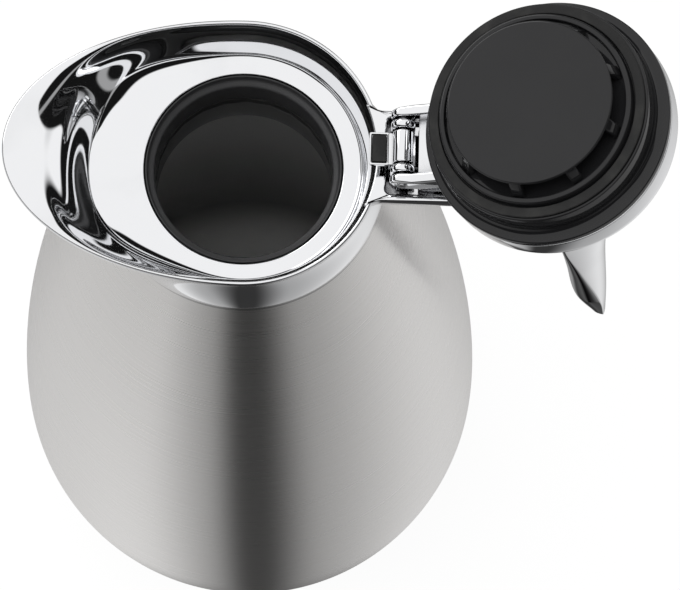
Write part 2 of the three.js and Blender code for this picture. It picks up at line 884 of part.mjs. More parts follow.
// The plug: a flange over the shell's edge, a step that fills the bowl, an end that enters the mouth
function lidPlug() {
  const bore = plugEndRadius - plugWall;
  return revolve([
    [screwHole, recessZ],
    [recessRadius, recessZ],
    [recessRadius, -plugEnd],
    [plugEndRadius - plugRound, -plugEnd],
    [plugEndRadius, plugRound - plugEnd],
    [plugRadius, -stepDepth],
    [stepRadius - plugRound, -stepDepth],
    [stepRadius, plugRound - stepDepth],
    [stepRadius, 0],
    [lidRadius - plugRound, 0],
    [lidRadius, plugRound],
    [lidRadius, flangeThickness],
    [bore, flangeThickness],
    [bore, plateTopZ],
    [screwHole, plateTopZ],
  ]);
}

// The end disc stands on a ring of legs in the plug's recess, with a slot between each leg and the next
function plugDisc() {
  const disc = revolve([
    [0, -discDepth],
    [discRadius - plugRound, -discDepth],
    [discRadius, plugRound - discDepth],
    [discRadius, discThickness - discDepth],
    [0, discThickness - discDepth],
  ]);
  const footZ = recessZ - seatGap;
  const ring = revolve([
    [discRadius - legThickness, plugRound - discDepth],
    [discRadius, plugRound - discDepth],
    [legRadius, -plugEnd],
    [legRadius, footZ],
    [legRadius - legThickness, footZ],
  ]);
  let legs = null;
  for (let i = 0; i < discLegs; i += 1) {
    const leg = block(0, 2 * legRadius, legWidth / 2, -2 * discDepth, 0).rotate([0, 0, (i * 360) / discLegs]);
    legs = legs ? legs.add(leg) : leg;
  }
  return geometryOf(solid(ring).intersect(legs).add(solid(disc)));
}

function plugSeal() {
  const inner = plugRadius + seatGap;
  const top = -stepDepth - seatGap;
  return revolve(
    [
      [inner, top],
      [inner + sealWidth, top],
      [inner + sealWidth, top - sealHeight],
      [inner, top - sealHeight],
    ],
    innerSteps,
  );
}

function lidFoam() {
  const bore = postRadius + seatGap;
  const stem = plugEndRadius - plugWall - seatGap;
  const skin = domeLine(shellInner - seatGap, lidDome - lidWall - seatGap, domeSteps - 2);
  const topZ = lidBand + (lidDome - lidWall - seatGap) * Math.sqrt(1 - (bore / (shellInner - seatGap)) ** 2);
  return revolve(
    [
      [bore, plateTopZ + seatGap],
      [stem, plateTopZ + seatGap],
      [stem, shellZ],
      [shellInner - seatGap, shellZ],
      ...skin.filter(([radius]) => radius > bore),
      [bore, topZ],
    ],
    innerSteps,
  );
}

function lidScrew() {
  return screw(recessZ - seatGap - screwHeadHeight, 2 * seatGap + plugPlate + lidScrewBite);
}

// Assembly
piece('outer_shell', outerShell(), brushedSteel());
piece('base_cap', baseCap(), blackPlastic());
piece('flask_cushion', flaskCushion(), blackRubber());
piece('flask_outer', flaskOuter(), clearGlass());
piece('flask_inner', flaskInner(), clearGlass());
piece('neck_gasket', neckGasket(), blackRubber());
piece('mouth_ring', mouthRing(), blackPlastic());
piece('mouth_seal', mouthSeal(), blackRubber());
piece('clamp_ring', clampRing(), greyPlastic());
piece('collar', collar(), chrome());
piece('handle', handle(), chrome());
piece('handle_screw_front', handleScrew(0), screwSteel());
piece('handle_screw_rear', handleScrew(1), screwSteel());
piece('hinge_pin', hingePin(), screwSteel());

const lever = new THREE.Group();
lever.position.set(pinX, 0, pinZ);
jug.add(lever);
piece('thumb_lever', thumbLever(), chrome(), lever);
piece('finger_bumper', fingerBumper(), blackRubber(), lever);

const lidSwing = new THREE.Group();
lidSwing.position.set(pinX, 0, pinZ);
lidSwing.rotation.y = lidOpenAngle * deg;
jug.add(lidSwing);
const lid = new THREE.Group();
lid.position.set(-pinX, 0, floorZ + lidSeatHeight - pinZ);
lidSwing.add(lid);
piece('lid_shell', lidShell(), chrome(), lid);
piece('lid_bracket', lidBracket(), chrome(), lid);
piece('lid_plug', lidPlug(), blackPlastic(), lid);
piece('plug_disc', plugDisc(), blackPlastic(), lid);
piece('plug_seal', plugSeal(), blackRubber(), lid);
piece('lid_foam', lidFoam(), whiteFoam(), lid);
piece('lid_screw', lidScrew(), screwSteel(), lid);

export default jug;
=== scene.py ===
import json
import bmesh
import bpy
import numpy as np
from mathutils import Matrix, Vector


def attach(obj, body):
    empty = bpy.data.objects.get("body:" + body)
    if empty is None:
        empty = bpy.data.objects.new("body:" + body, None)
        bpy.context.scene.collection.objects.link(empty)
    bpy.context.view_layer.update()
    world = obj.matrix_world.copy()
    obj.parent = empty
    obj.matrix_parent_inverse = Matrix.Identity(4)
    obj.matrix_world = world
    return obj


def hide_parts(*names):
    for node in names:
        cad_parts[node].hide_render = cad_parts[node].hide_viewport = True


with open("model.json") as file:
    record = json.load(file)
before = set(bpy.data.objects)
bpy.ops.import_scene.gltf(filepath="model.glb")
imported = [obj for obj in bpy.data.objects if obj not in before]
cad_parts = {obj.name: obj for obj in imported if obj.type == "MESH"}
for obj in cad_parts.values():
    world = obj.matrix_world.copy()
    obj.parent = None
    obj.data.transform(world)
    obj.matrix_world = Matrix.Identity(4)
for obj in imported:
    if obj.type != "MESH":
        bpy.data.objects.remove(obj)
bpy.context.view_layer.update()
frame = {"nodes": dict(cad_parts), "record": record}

mm = 0.001
joints = {joint["name"]: joint for joint in frame["record"]["behaviour"]["joints"]}
pinX, pinZ = (joints["lid_hinge"]["pos_m"][axis] / mm for axis in (0, 2))
pinAt = (pinX, 0, pinZ)
lidOpen = np.radians(max(joints["lid_hinge"]["range_deg"]))
print("frame loaded:", len(frame["nodes"]), "nodes")


# Shader tools

class Wire:  # one output socket; sums of wires add Math nodes
    def __init__(self, graph, socket):
        self.graph = graph
        self.socket = socket

    def __add__(self, other):
        return self.graph.math("ADD", self, other)

    def __sub__(self, other):
        return self.graph.math("SUBTRACT", self, other)

    def __rsub__(self, other):
        return self.graph.math("SUBTRACT", other, self)

    def __mul__(self, other):
        return self.graph.math("MULTIPLY", self, other)

    def __abs__(self):
        return self.graph.math("ABSOLUTE", self)

    __radd__ = __add__
    __rmul__ = __mul__


class Graph:  # one node tree; add makes any node, its settings first and its sockets after
    def __init__(self, tree):
        self.tree = tree
        tree.nodes.clear()

    def add(self, kind, settings=None, inputs=None, output=0):
        node = self.tree.nodes.new(kind)
        for name, value in (settings or {}).items():
            setattr(node, name, value)
        for name, value in (inputs or {}).items():
            if isinstance(value, Wire):
                self.tree.links.new(value.socket, node.inputs[name])
            else:
                node.inputs[name].default_value = value
        return Wire(self, node.outputs[output]) if node.outputs else node

    def math(self, operation, *values):  # one sum of wires and numbers
        return self.add("ShaderNodeMath", {"operation": operation}, dict(enumerate(values)))

    def step(self, value, low, high):  # smooth rise from 0 at low to 1 at high
        inputs = {"Value": value, "From Min": low, "From Max": high}
        return self.add("ShaderNodeMapRange", {"interpolation_type": "SMOOTHSTEP"}, inputs)

    def axes(self, space):  # X, Y and Z of a place or a direction
        place = self.add("ShaderNodeTexCoord", output=space)
        return [self.add("ShaderNodeSeparateXYZ", {}, {0: place}, output=axis) for axis in range(3)]

    def noise(self, scale, detail=3.0, stretch=(1, 1, 1)):  # cloudy value from 0 to 1 over the piece
        place = self.add("ShaderNodeTexCoord", output="Object")
        place = self.add("ShaderNodeMapping", {}, {"Vector": place, "Scale": stretch})
        return self.add("ShaderNodeTexNoise", {}, {"Vector": place, "Scale": scale, "Detail": detail})

    def blend(self, share, first, second):  # colour between two colours
        inputs = {0: share, 6: (*first, 1), 7: (*second, 1)}
        return self.add("ShaderNodeMix", {"data_type": "RGBA"}, inputs, output=2)

    def bump(self, height, strength, distance):  # normal tilted by a height
        return self.add("ShaderNodeBump", {}, {"Height": height, "Strength": strength, "Distance": distance})


def newFinish(build):  # build gives the shader's sockets
    material = bpy.data.materials.new(build.__name__)
    material.use_nodes = True
    graph = Graph(material.node_tree)
    shader = graph.add("ShaderNodeBsdfPrincipled", {}, build(graph))
    graph.add("ShaderNodeOutputMaterial", {}, {"Surface": shader})
    return material


# Finishes

brushedLook = {
    "dark": (0.835, 0.82, 0.805), "light": (0.885, 0.87, 0.855), "roughness": 0.28, "spread": 0.06,
    "anisotropic": 0.7, "lineScale": (16, 16, 5200), "bandScale": (9, 9, 900), "lineShare": 0.8, "tone": (0.3, 0.7),
    "bump": (0.05, 0.0002),
}


def brushedSteel(graph):  # fine lines round the body, so streaks are long in X and Y and short in Z
    look = brushedLook
    lines = graph.noise(1.0, 5.0, look["lineScale"])
    bands = graph.noise(1.0, 2.0, look["bandScale"])
    grain = look["lineShare"] * lines + (1 - look["lineShare"]) * bands
    return {
        "Base Color": graph.blend(graph.step(grain, *look["tone"]), look["dark"], look["light"]),
        "Metallic": 1.0,
        "Roughness": look["roughness"] + look["spread"] * (grain - 0.5),
        "Anisotropic": look["anisotropic"],
        "Anisotropic Rotation": 0.25,
        "Normal": graph.bump(lines, *look["bump"]),
    }


# the dark colour is painted shade: ambient occlusion darkens the crevices, and a painted shadow line runs along the
# skirt's foot
chromeLook = {
    "colour": (0.86, 0.865, 0.88), "paintedShade": (0.05, 0.05, 0.055), "wiped": 0.07, "roughness": 0.035, "smear": 0.05,
    "markScale": 38.0, "marks": (0.52, 0.8), "crevice": 0.006, "open": (0.22, 0.62), "footShadeZ": (0.2366, 0.2378),
    "footShadeReach": 0.040, "footShadeTone": 0.75,
}


def polishedChrome(graph):  # clear mirror with faint wiping marks, painted shade in crevices from ambient occlusion and a painted shadow line along the skirt's foot
    look = chromeLook
    marks = graph.step(graph.noise(look["markScale"], 4.0), *look["marks"])
    opening = graph.add("ShaderNodeAmbientOcclusion", {"samples": 12}, {"Distance": look["crevice"]}, output="AO")
    # painted crevice shade from ambient occlusion, times the real wiping marks
    paintedShadeAndWipe = graph.step(opening, *look["open"]) * (1 - look["wiped"] * marks)
    x, y, z = graph.axes("Object")
    # painted shadow line on the skirt's foot, kept within a reach of the axis
    near = graph.math("LESS_THAN", x * x + y * y, look["footShadeReach"] ** 2)
    foot = near * (1 - graph.step(z, *look["footShadeZ"]))
    return {
        "Base Color": graph.blend(paintedShadeAndWipe * (1 - look["footShadeTone"] * foot), look["paintedShade"], look["colour"]),
        "Metallic": 1.0,
        "Roughness": look["roughness"] + look["smear"] * marks,
    }


blackLook = {
    "colour": (0.006, 0.006, 0.0065), "worn": (0.009, 0.009, 0.0095), "roughness": 0.06, "spread": 0.04, "ior": 1.42,
    "cloudScale": 55.0, "waveScale": 900.0, "wave": (0.015, 0.0002),
}


def blackGloss(graph):  # moulded plastic: even gloss, a very shallow mould wave
    look = blackLook
    cloud = graph.noise(look["cloudScale"])
    return {
        "Base Color": graph.blend(cloud, look["colour"], look["worn"]),
        "Roughness": look["roughness"] + look["spread"] * (cloud - 0.5),
        "IOR": look["ior"],
        "Normal": graph.bump(graph.noise(look["waveScale"], 2.0), *look["wave"]),
    }


satinLook = {
    "colour": (0.013, 0.013, 0.0135), "worn": (0.022, 0.022, 0.023), "roughness": 0.48, "spread": 0.14,
    "cloudScale": 60.0, "grainScale": 2600.0, "bump": (0.25, 0.0002),
}


def blackSatin(graph):  # spark-eroded mould texture
    look = satinLook
    grain = graph.noise(look["grainScale"], 2.0)
    return {
        "Base Color": graph.blend(graph.noise(look["cloudScale"]), look["colour"], look["worn"]),
        "Roughness": look["roughness"] + look["spread"] * grain,
        "Normal": graph.bump(grain, *look["bump"]),
    }


rubberLook = {
    "colour": (0.012, 0.012, 0.012), "dust": (0.024, 0.024, 0.023), "roughness": 0.72, "spread": 0.12, "ior": 1.28,
    "dustScale": 140.0, "dusty": (0.45, 0.75), "skinScale": 1800.0, "bump": (0.15, 0.0002),
}


def softRubber(graph):  # dull black with patches of dust
    look = rubberLook
    dust = graph.step(graph.noise(look["dustScale"], 5.0), *look["dusty"])
    return {
        "Base Color": graph.blend(dust, look["colour"], look["dust"]),
        "Roughness": look["roughness"] + look["spread"] * dust,
        "IOR": look["ior"],
        "Normal": graph.bump(graph.noise(look["skinScale"]), *look["bump"]),
    }


# the heights place painted light on the bottom and the upper wall, and painted shade on the neck
flaskLook = {
    "silver": (0.90, 0.90, 0.895), "paintedShade": (0.015, 0.015, 0.015), "roughness": 0.42, "bottomLightZ": (0.022, 0.054),
    "upperLightZ": (0.03, 0.16), "upperLight": 0.72, "neckZ": (0.200, 0.214), "neckShade": 0.93, "cloudScale": 30.0,
    "cloudTone": 0.08, "spread": 0.1, "metal": 0.25, "coat": 0.3,
}


def flaskGlass(graph):  # silvered glass with painted light from the mouth: darkest at the belly, painted paler towards the shoulder and the bottom, painted darker at the neck
    look = flaskLook
    height = graph.axes("Object")[2]
    cloud = graph.noise(look["cloudScale"], 4.0)
    # painted light on the bottom and the upper wall, painted shade on the neck, then a faint random cloud
    low = 1 - graph.step(height, *look["bottomLightZ"])
    tone = graph.math("MAXIMUM", low, look["upperLight"] * graph.step(height, *look["upperLightZ"]))
    tone *= 1 - look["neckShade"] * graph.step(height, *look["neckZ"])
    tone *= 1 - look["cloudTone"] * (1 - cloud)
    return {
        "Base Color": graph.blend(tone, look["paintedShade"], look["silver"]),
        "Metallic": look["metal"],
        "Roughness": look["roughness"] + look["spread"] * (cloud - 0.5),
        "Coat Weight": look["coat"],
    }


screwLook = {
    "colour": (0.47, 0.47, 0.48), "shade": (0.38, 0.38, 0.39), "roughness": 0.26, "spread": 0.12,
    "lineScale": (4000, 300, 4000),
}


def screwSteel(graph):  # fine turning lines
    look = screwLook
    lines = graph.noise(1.0, 3.0, look["lineScale"])
    return {
        "Base Color": graph.blend(lines, look["shade"], look["colour"]),
        "Metallic": 1.0,
        "Roughness": look["roughness"] + look["spread"] * lines,
    }


foamLook = {
    "colour": (0.80, 0.77, 0.68), "shade": (0.68, 0.65, 0.55), "roughness": 0.85, "spread": 0.1, "cellScale": 1500.0,
    "bump": (0.4, 0.0004),
}


def foamFill(graph):  # small open cells
    look = foamLook
    cells = graph.noise(look["cellScale"], 2.0)
    return {
        "Base Color": graph.blend(cells, look["shade"], look["colour"]),
        "Roughness": look["roughness"] + look["spread"] * cells,
        "Normal": graph.bump(cells, *look["bump"]),
    }


builders = {
    "brushed_body": brushedSteel, "chrome": polishedChrome, "black_plastic": blackGloss, "base_plastic": blackSatin,
    "rubber": softRubber, "flask_glass": flaskGlass, "screw_steel": screwSteel, "foam": foamFill,
}
finishes = {slotName: newFinish(build) for slotName, build in builders.items()}
print("finishes made:", len(finishes))


# Shape tools, all in millimetres

roundSteps = 6
roundPull = 0.55  # share of a cut that bends its curve almost into a quarter circle
quarter = np.linspace(0, np.pi / 2, 5)
edgeCut, edgeRise = 1 - np.sin(quarter), 1 - np.cos(quarter)  # a round edge of radius 1: how far in, how far up
mitreLimit = 0.35  # keeps the mitre of a sharp corner short
merge = 1e-7  # metres
doubled = 1e-6  # millimetres


def bezier(a, b, c, d, steps):  # cubic from a to d, drawn towards b and c; leading axes are kept
    t = np.linspace(0, 1, steps + 1)[:, None]
    a, b, c, d = (np.asarray(p, float)[..., None, :] for p in (a, b, c, d))
    return a * (1 - t) ** 3 + 3 * b * t * (1 - t) ** 2 + 3 * c * t**2 * (1 - t) + d * t**3


def rounded(corners):  # each corner [x, z, cut] becomes a curve between the points a cut before and after it
    corners = np.asarray(corners, float)
    parts = []
    for before, here, after in zip(np.roll(corners, 1, 0), corners, np.roll(corners, -1, 0)):
        cut = here[2]
        point = here[:2]
        if cut == 0:
            parts.append(point[None])
            continue
        back = (before[:2] - point) / np.linalg.norm(before[:2] - point)
        on = (after[:2] - point) / np.linalg.norm(after[:2] - point)
        start = point + cut * back
        end = point + cut * on
        parts.append(bezier(start, start - roundPull * cut * back, end - roundPull * cut * on, end, roundSteps))
    return np.concatenate(parts)


def arc(centre, radius, start, end, steps):  # points on a circle between two angles in degrees
    angle = np.radians(np.linspace(start, end, steps + 1))
    return np.stack([centre[0] + radius * np.cos(angle), centre[1] + radius * np.sin(angle)], -1)


def box(x0, x1, half, corner):  # outline of a rectangle with rounded corners
    return rounded([(x0, -half, corner), (x1, -half, corner), (x1, half, corner), (x0, half, corner)])


def gridFaces(rows, cols, closeRows=False, closeCols=False):  # four neighbours in a grid of points make one face
    index = np.arange(rows * cols).reshape(rows, cols)
    if closeRows:
        index = np.concatenate([index, index[:1]], 0)
    if closeCols:
        index = np.concatenate([index, index[:, :1]], 1)
    quads = np.stack([index[:-1, :-1], index[:-1, 1:], index[1:, 1:], index[1:, :-1]], -1)
    return quads.reshape(-1, 4).tolist()


def around(steps):  # angles once round Z
    return np.linspace(0, 2 * np.pi, steps, endpoint=False)


def carried(sections, angle):  # each section of [radius, height] set at its angle round Z
    radius, height = np.moveaxis(sections, -1, 0)
    angle = angle[:, None]
    return np.stack([radius * np.cos(angle), radius * np.sin(angle), height + 0 * angle], -1).reshape(-1, 3)


def spin(profile, steps):  # a profile of [radius, height] carried round Z, closed unless its ends lie on the axis
    profile = np.asarray(profile, float)
    onAxis = profile[0, 0] == 0 and profile[-1, 0] == 0
    return carried(profile, around(steps)), gridFaces(steps, len(profile), True, not onAxis)


def atHeight(outline, height):  # a flat outline as a ring of points
    return np.column_stack([outline, np.full(len(outline), height)])


def stack(rings):  # closed rings joined in order, with a flat face on the first and the last
    rings = np.asarray(rings, float)
    rows, cols = rings.shape[:2]
    faces = gridFaces(rows, cols, False, True)
    first = list(range(cols))
    last = list(range((rows - 1) * cols, rows * cols))
    return rings.reshape(-1, 3), faces + [first, last]


def inset(outline, distance):  # every corner moved inwards along the mitre of its two sides
    before = outline - np.roll(outline, 1, 0)
    after = np.roll(outline, -1, 0) - outline
    before = before / np.linalg.norm(before, axis=1, keepdims=True)
    after = after / np.linalg.norm(after, axis=1, keepdims=True)
    left = np.stack([-before[:, 1], before[:, 0]], -1)
    right = np.stack([-after[:, 1], after[:, 0]], -1)
    share = 1 + np.sum(left * right, axis=1, keepdims=True)
    return outline + distance * (left + right) / np.maximum(share, mitreLimit)


def rims(outline, cuts, heights):  # the outline cut in by each cut at each height
    return [atHeight(inset(outline, cut), height) for cut, height in zip(cuts, heights)]


def tidyOutline(outline):  # no doubled points, always anticlockwise
    outline = np.asarray(outline, float)
    apart = np.linalg.norm(outline - np.roll(outline, 1, 0), axis=1)
    outline = outline[apart > doubled]
    x, y = outline.T
    area = np.sum(x * np.roll(y, -1) - y * np.roll(x, -1))
    return outline if area > 0 else outline[::-1]


def slab(outline, low, high, edge, axis="Z"):  # an outline with thickness, its edges rounded by quarter circles
    cuts = edge * np.concatenate([edgeCut, edgeRise])
    heights = np.concatenate([low + edge * edgeRise, high - edge * edgeCut])
    rings = np.stack(rims(tidyOutline(outline), cuts, heights))
    if axis == "Y":
        rings = rings[..., [0, 2, 1]]
    return stack(rings)


def turnY(shell):  # a shape made round Z laid along Y
    points, faces = shell
    return points[:, [0, 2, 1]], faces


def moved(shell, offset):  # every point plus the offset
    return shell[0] + np.asarray(offset, float), shell[1]


def openLid(shell):  # drawn closed with the flange face at height 0, then swung open about the pin
    points = shell[0] + (-pinX, 0, floorZ + lid["seatHeight"] - pinZ)
    x, y, z = points.T
    swung = np.stack([x * np.cos(lidOpen) + z * np.sin(lidOpen), y, z * np.cos(lidOpen) - x * np.sin(lidOpen)], -1)
    return swung + pinAt, shell[1]


# closed shells joined in one mesh in metres, edges over the sharp angle kept, then set on its body with the frame's
# pieces it stands for hidden
def makePiece(name, shells, slotName, body, *nodes, sharp=32, finish=None):
    points, faces, count = [], [], 0
    for shellPoints, shellFaces in shells:
        points.append(shellPoints * mm)
        faces += [[corner + count for corner in face] for face in shellFaces]
        count += len(shellPoints)
    mesh = bpy.data.meshes.new(name)
    mesh.from_pydata(np.concatenate(points).tolist(), [], faces)
    work = bmesh.new()
    work.from_mesh(mesh)
    bmesh.ops.remove_doubles(work, verts=work.verts, dist=merge)
    bmesh.ops.dissolve_degenerate(work, edges=work.edges, dist=merge)
    bmesh.ops.recalc_face_normals(work, faces=work.faces)
    work.to_mesh(mesh)
    work.free()
    mesh.shade_smooth()
    mesh.set_sharp_from_angle(angle=np.radians(sharp))
    mesh.materials.append(finishes[finish or slotName])
    piece = bpy.data.objects.new(name, mesh)
    bpy.context.scene.collection.objects.link(piece)
    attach(piece, body)
    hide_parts(*nodes)


# Steel body and base

collar = {  # first, since the other pieces follow its sizes
    "floorZ": 240.0, "mouth": 24.0, "floorWidth": 3.5, "flare": 1.5, "lidGap": 1.0, "rimWidth": 3.0,
    "rimHeight": 13.0, "rimRound": 0.7, "crestDrop": 1.2, "spoutFloor": 9.0, "spoutWall": 7.5, "spoutLip": 13.0,
    "lipPinch": 5, "spoutCrestDrop": 5.5, "skirtFlare": 1.2, "skirtDrop": 5.2, "skirtWall": 1.2, "seatDepth": 3.6,
    "seatWall": 0.9, "holeRound": 0.45, "floorFillet": 1.5, "spoutFillet": 0.8, "flankFillet": 3.4, "floorOut": 0.9,
    "floorLeft": 0.2, "crestWidth": 1.6, "holeIn": 0.5, "skirtIn": 0.2, "skirtBulge": 0.4, "steps": 240,
    "cornerPull": 0.45, "lipStart": (0.36, 0.5), "lipEnd": (0.5, 0.08), "edgeIn": 0.3, "edgeOut": 0.08,
    "edgeFall": (0.9, 2), "hangStart": (0.55, 0.42), "hangEnd": (0.1, 0.12), "hem": (0.4, 0.1), "hemIn": (0.1, 0.3),
}
gap = 0.3
floorZ = collar["floorZ"]
bowlSide = collar["mouth"] + collar["floorWidth"]
lidSide = bowlSide + collar["flare"]
rimSide = lidSide + collar["lidGap"] + collar["rimWidth"]
skirtSide = rimSide + collar["skirtFlare"]
underFloor = floorZ - collar["seatDepth"] - collar["seatWall"]

body = {
    "equator": 63.3, "equatorZ": 52.4, "wall": 1.0, "foot": 47.5, "footZ": 4.0, "footUp": 22.0, "footOut": 8.5,
    "footRound": 7.0, "lean": 20.5, "shoulderPull": 68.9, "equatorPull": 27.8, "neckHole": 25.4,
}
neckSide = skirtSide - collar["skirtWall"] - gap
shoulderZ = underFloor - gap


def bodyLine(steps):  # cubic from the collar out to the equator, cubic from there in to the foot
    lean = np.radians(body["lean"])
    leave = body["shoulderPull"] * np.array((np.sin(lean), -np.cos(lean)))
    shoulder, equator = np.array((neckSide, shoulderZ)), np.array((body["equator"], body["equatorZ"]))
    foot = np.array((body["foot"], body["footZ"]))
    upper = bezier(shoulder, shoulder + leave, equator + (0, body["equatorPull"]), equator, steps)
    footPull = (body["footOut"], body["footRound"])
    lower = bezier(equator, equator - (0, body["footUp"]), foot + footPull, foot, steps // 2)
    return upper, lower[1:]


def outerShell():  # the body's line, the same line a wall further in, and the neck's flange
    outside = np.concatenate(bodyLine(72))
    inside = (outside - (body["wall"], 0))[:0:-1]
    under = shoulderZ - body["wall"]
    flange = [(neckSide - body["wall"], under), (body["neckHole"], under), (body["neckHole"], shoulderZ)]
    return spin(np.concatenate([outside, inside, flange]), 256)


base = {"floor": 3.0, "lean": 0.2, "chamfer": 1.2, "upstand": 8.0, "upstandWall": 1.6}


def baseCap():  # flat bottom, rounded side, thin upstand inside the foot
    upstand = body["foot"] - body["wall"] - gap
    seat = body["footZ"] - gap
    return spin(rounded([
        (0, 0, 0), (body["foot"] - base["lean"], 0, base["chamfer"]), (body["foot"], seat, 0.4), (upstand, seat, 0),
        (upstand, seat + base["upstand"], 0.4), (upstand - base["upstandWall"], seat + base["upstand"], 0.4),
        (upstand - base["upstandWall"], base["floor"], 0.8), (0, base["floor"], 0),
    ]), 192)


makePiece("bodyShell", [outerShell()], "brushed_body", "jug", "outer_shell")
makePiece("footCap", [baseCap()], "base_plastic", "jug", "base_cap")
print("body and foot made")


# Glass flask, mouth ring

neck = {
    "throat": 21.4, "depth": 11.0, "ledgeTop": 1.7, "ledgeBottom": 2.6, "ledge": 1.5, "lip": 0.35, "flange": 2.4,
    "sink": 0.1, "sleeve": 1.0, "gasket": 2.3,
}
sleeveBottom = floorZ - neck["depth"]

flask = {
    "wall": 1.4, "vacuum": 2.2, "room": 6.0, "neckLength": 9.0, "shoulder": 12.0, "shoulderPull": (0.5, 0.4),
    "bottomZ": 10.0, "tip": 2.0, "tipLength": 3.0, "tipPull": (0.7, 1), "lipDepth": 3, "square": 2.8,
}
flaskSide = body["equator"] - body["wall"] - flask["room"]
flaskLip = sleeveBottom - 2 * gap - neck["gasket"]
flaskNeck = neck["throat"] + 2 * flask["wall"] + flask["vacuum"]
flaskDepths = np.cumsum([0, flask["wall"], flask["vacuum"], flask["wall"]])


def flaskSkin(depth, tip):  # superellipse bottom, side parallel to the body, soft shoulder up to the neck
    turn = np.linspace(0, np.pi / 2, 40, endpoint=False)
    power = 2 / flask["square"]
    radius = np.maximum(tip, (flaskSide - depth) * np.sin(turn) ** power)
    height = body["equatorZ"] - (body["equatorZ"] - flask["bottomZ"] - depth) * np.cos(turn) ** power
    side = bodyLine(48)[0][::-1] - (body["wall"] + flask["room"] + depth, 0)
    side = side[side[:, 1] < flaskLip - flask["neckLength"] - flask["shoulder"]]
    neckFoot = np.array((flaskNeck - depth, flaskLip - flask["neckLength"]))
    leave, reach = np.array(flask["shoulderPull"]) * (neckFoot[1] - side[-1, 1])
    shoulder = bezier(side[-1], side[-1] + (0, leave), neckFoot - (0, reach), neckFoot, 14)
    return np.concatenate([np.stack([radius, height], -1), side[:-1], shoulder])


def outerBottle():  # open at the neck, drawn to a sealed tip below
    low = flask["bottomZ"] - flask["tipLength"]
    top = flaskLip - flask["wall"] - gap
    wide = flask["tip"]
    aside, up = flask["tipPull"]
    tip = bezier((0, low), (aside * wide, low), (wide, low + up), (wide, flask["bottomZ"]), 8)
    outside, back = flaskSkin(flaskDepths[0], wide), flaskSkin(flaskDepths[1], 0)
    lip = [(flaskNeck, top), (flaskNeck - flaskDepths[1], top)]
    return spin(np.concatenate([tip, outside[1:], lip, back[::-1]]), 128)


def innerBottle():  # its lip turns out over the outer bottle's neck
    under = flaskLip - flask["wall"]
    back, inside = flaskSkin(flaskDepths[2], 0), flaskSkin(flaskDepths[3], 0)
    backSide, innerSide = flaskNeck - flaskDepths[2], flaskNeck - flaskDepths[3]
    lip = rounded([
        (innerSide, flaskLip - flask["lipDepth"], 0), (innerSide, flaskLip, 0.7), (flaskNeck, flaskLip, 0.5),
        (flaskNeck, under, 0.3), (backSide, under, 0.2), (backSide, under - flask["lipDepth"], 0),
    ])
    return spin(np.concatenate([inside, lip, back[::-1]]), 160)


def mouthRing():  # counterbore for the lid's plug, a sloping ledge, then the throat
    lipZ = floorZ - neck["sink"]
    throat = neck["throat"]
    sleeve = throat + neck["sleeve"]
    mouth = collar["mouth"] - collar["holeIn"]
    under = lipZ - neck["flange"]
    return spin(rounded([
        (throat, sleeveBottom, 0.2), (throat, floorZ - neck["ledgeBottom"], 0.5),
        (throat + neck["ledge"], floorZ - neck["ledgeTop"], 0.5), (mouth - neck["lip"], lipZ, 0.25), (mouth, lipZ, 0.2),
        (mouth, under, 0.1), (sleeve, under, 0), (sleeve, sleeveBottom, 0.2),
    ]), 192)


makePiece("glassOutside", [outerBottle()], "flask_glass", "jug", "flask_outer")
makePiece("glassInside", [innerBottle()], "flask_glass", "jug", "flask_inner")
makePiece("mouthSleeve", [mouthRing()], "black_plastic", "jug", "mouth_ring", finish="base_plastic")
print("flask and mouth made")


# Collar with bowl, spout, skirt, hinge tray and lugs

def planRadius(angle, side, reach):  # circle towards the hinge, long half ellipse towards the spout
    along = np.minimum(np.cos(angle), 0)
    ellipse = 1 / np.hypot(along / reach, np.sin(angle) / side + 1e-12)  # never divides by nothing
    return np.where(np.cos(angle) >= 0, side, ellipse)


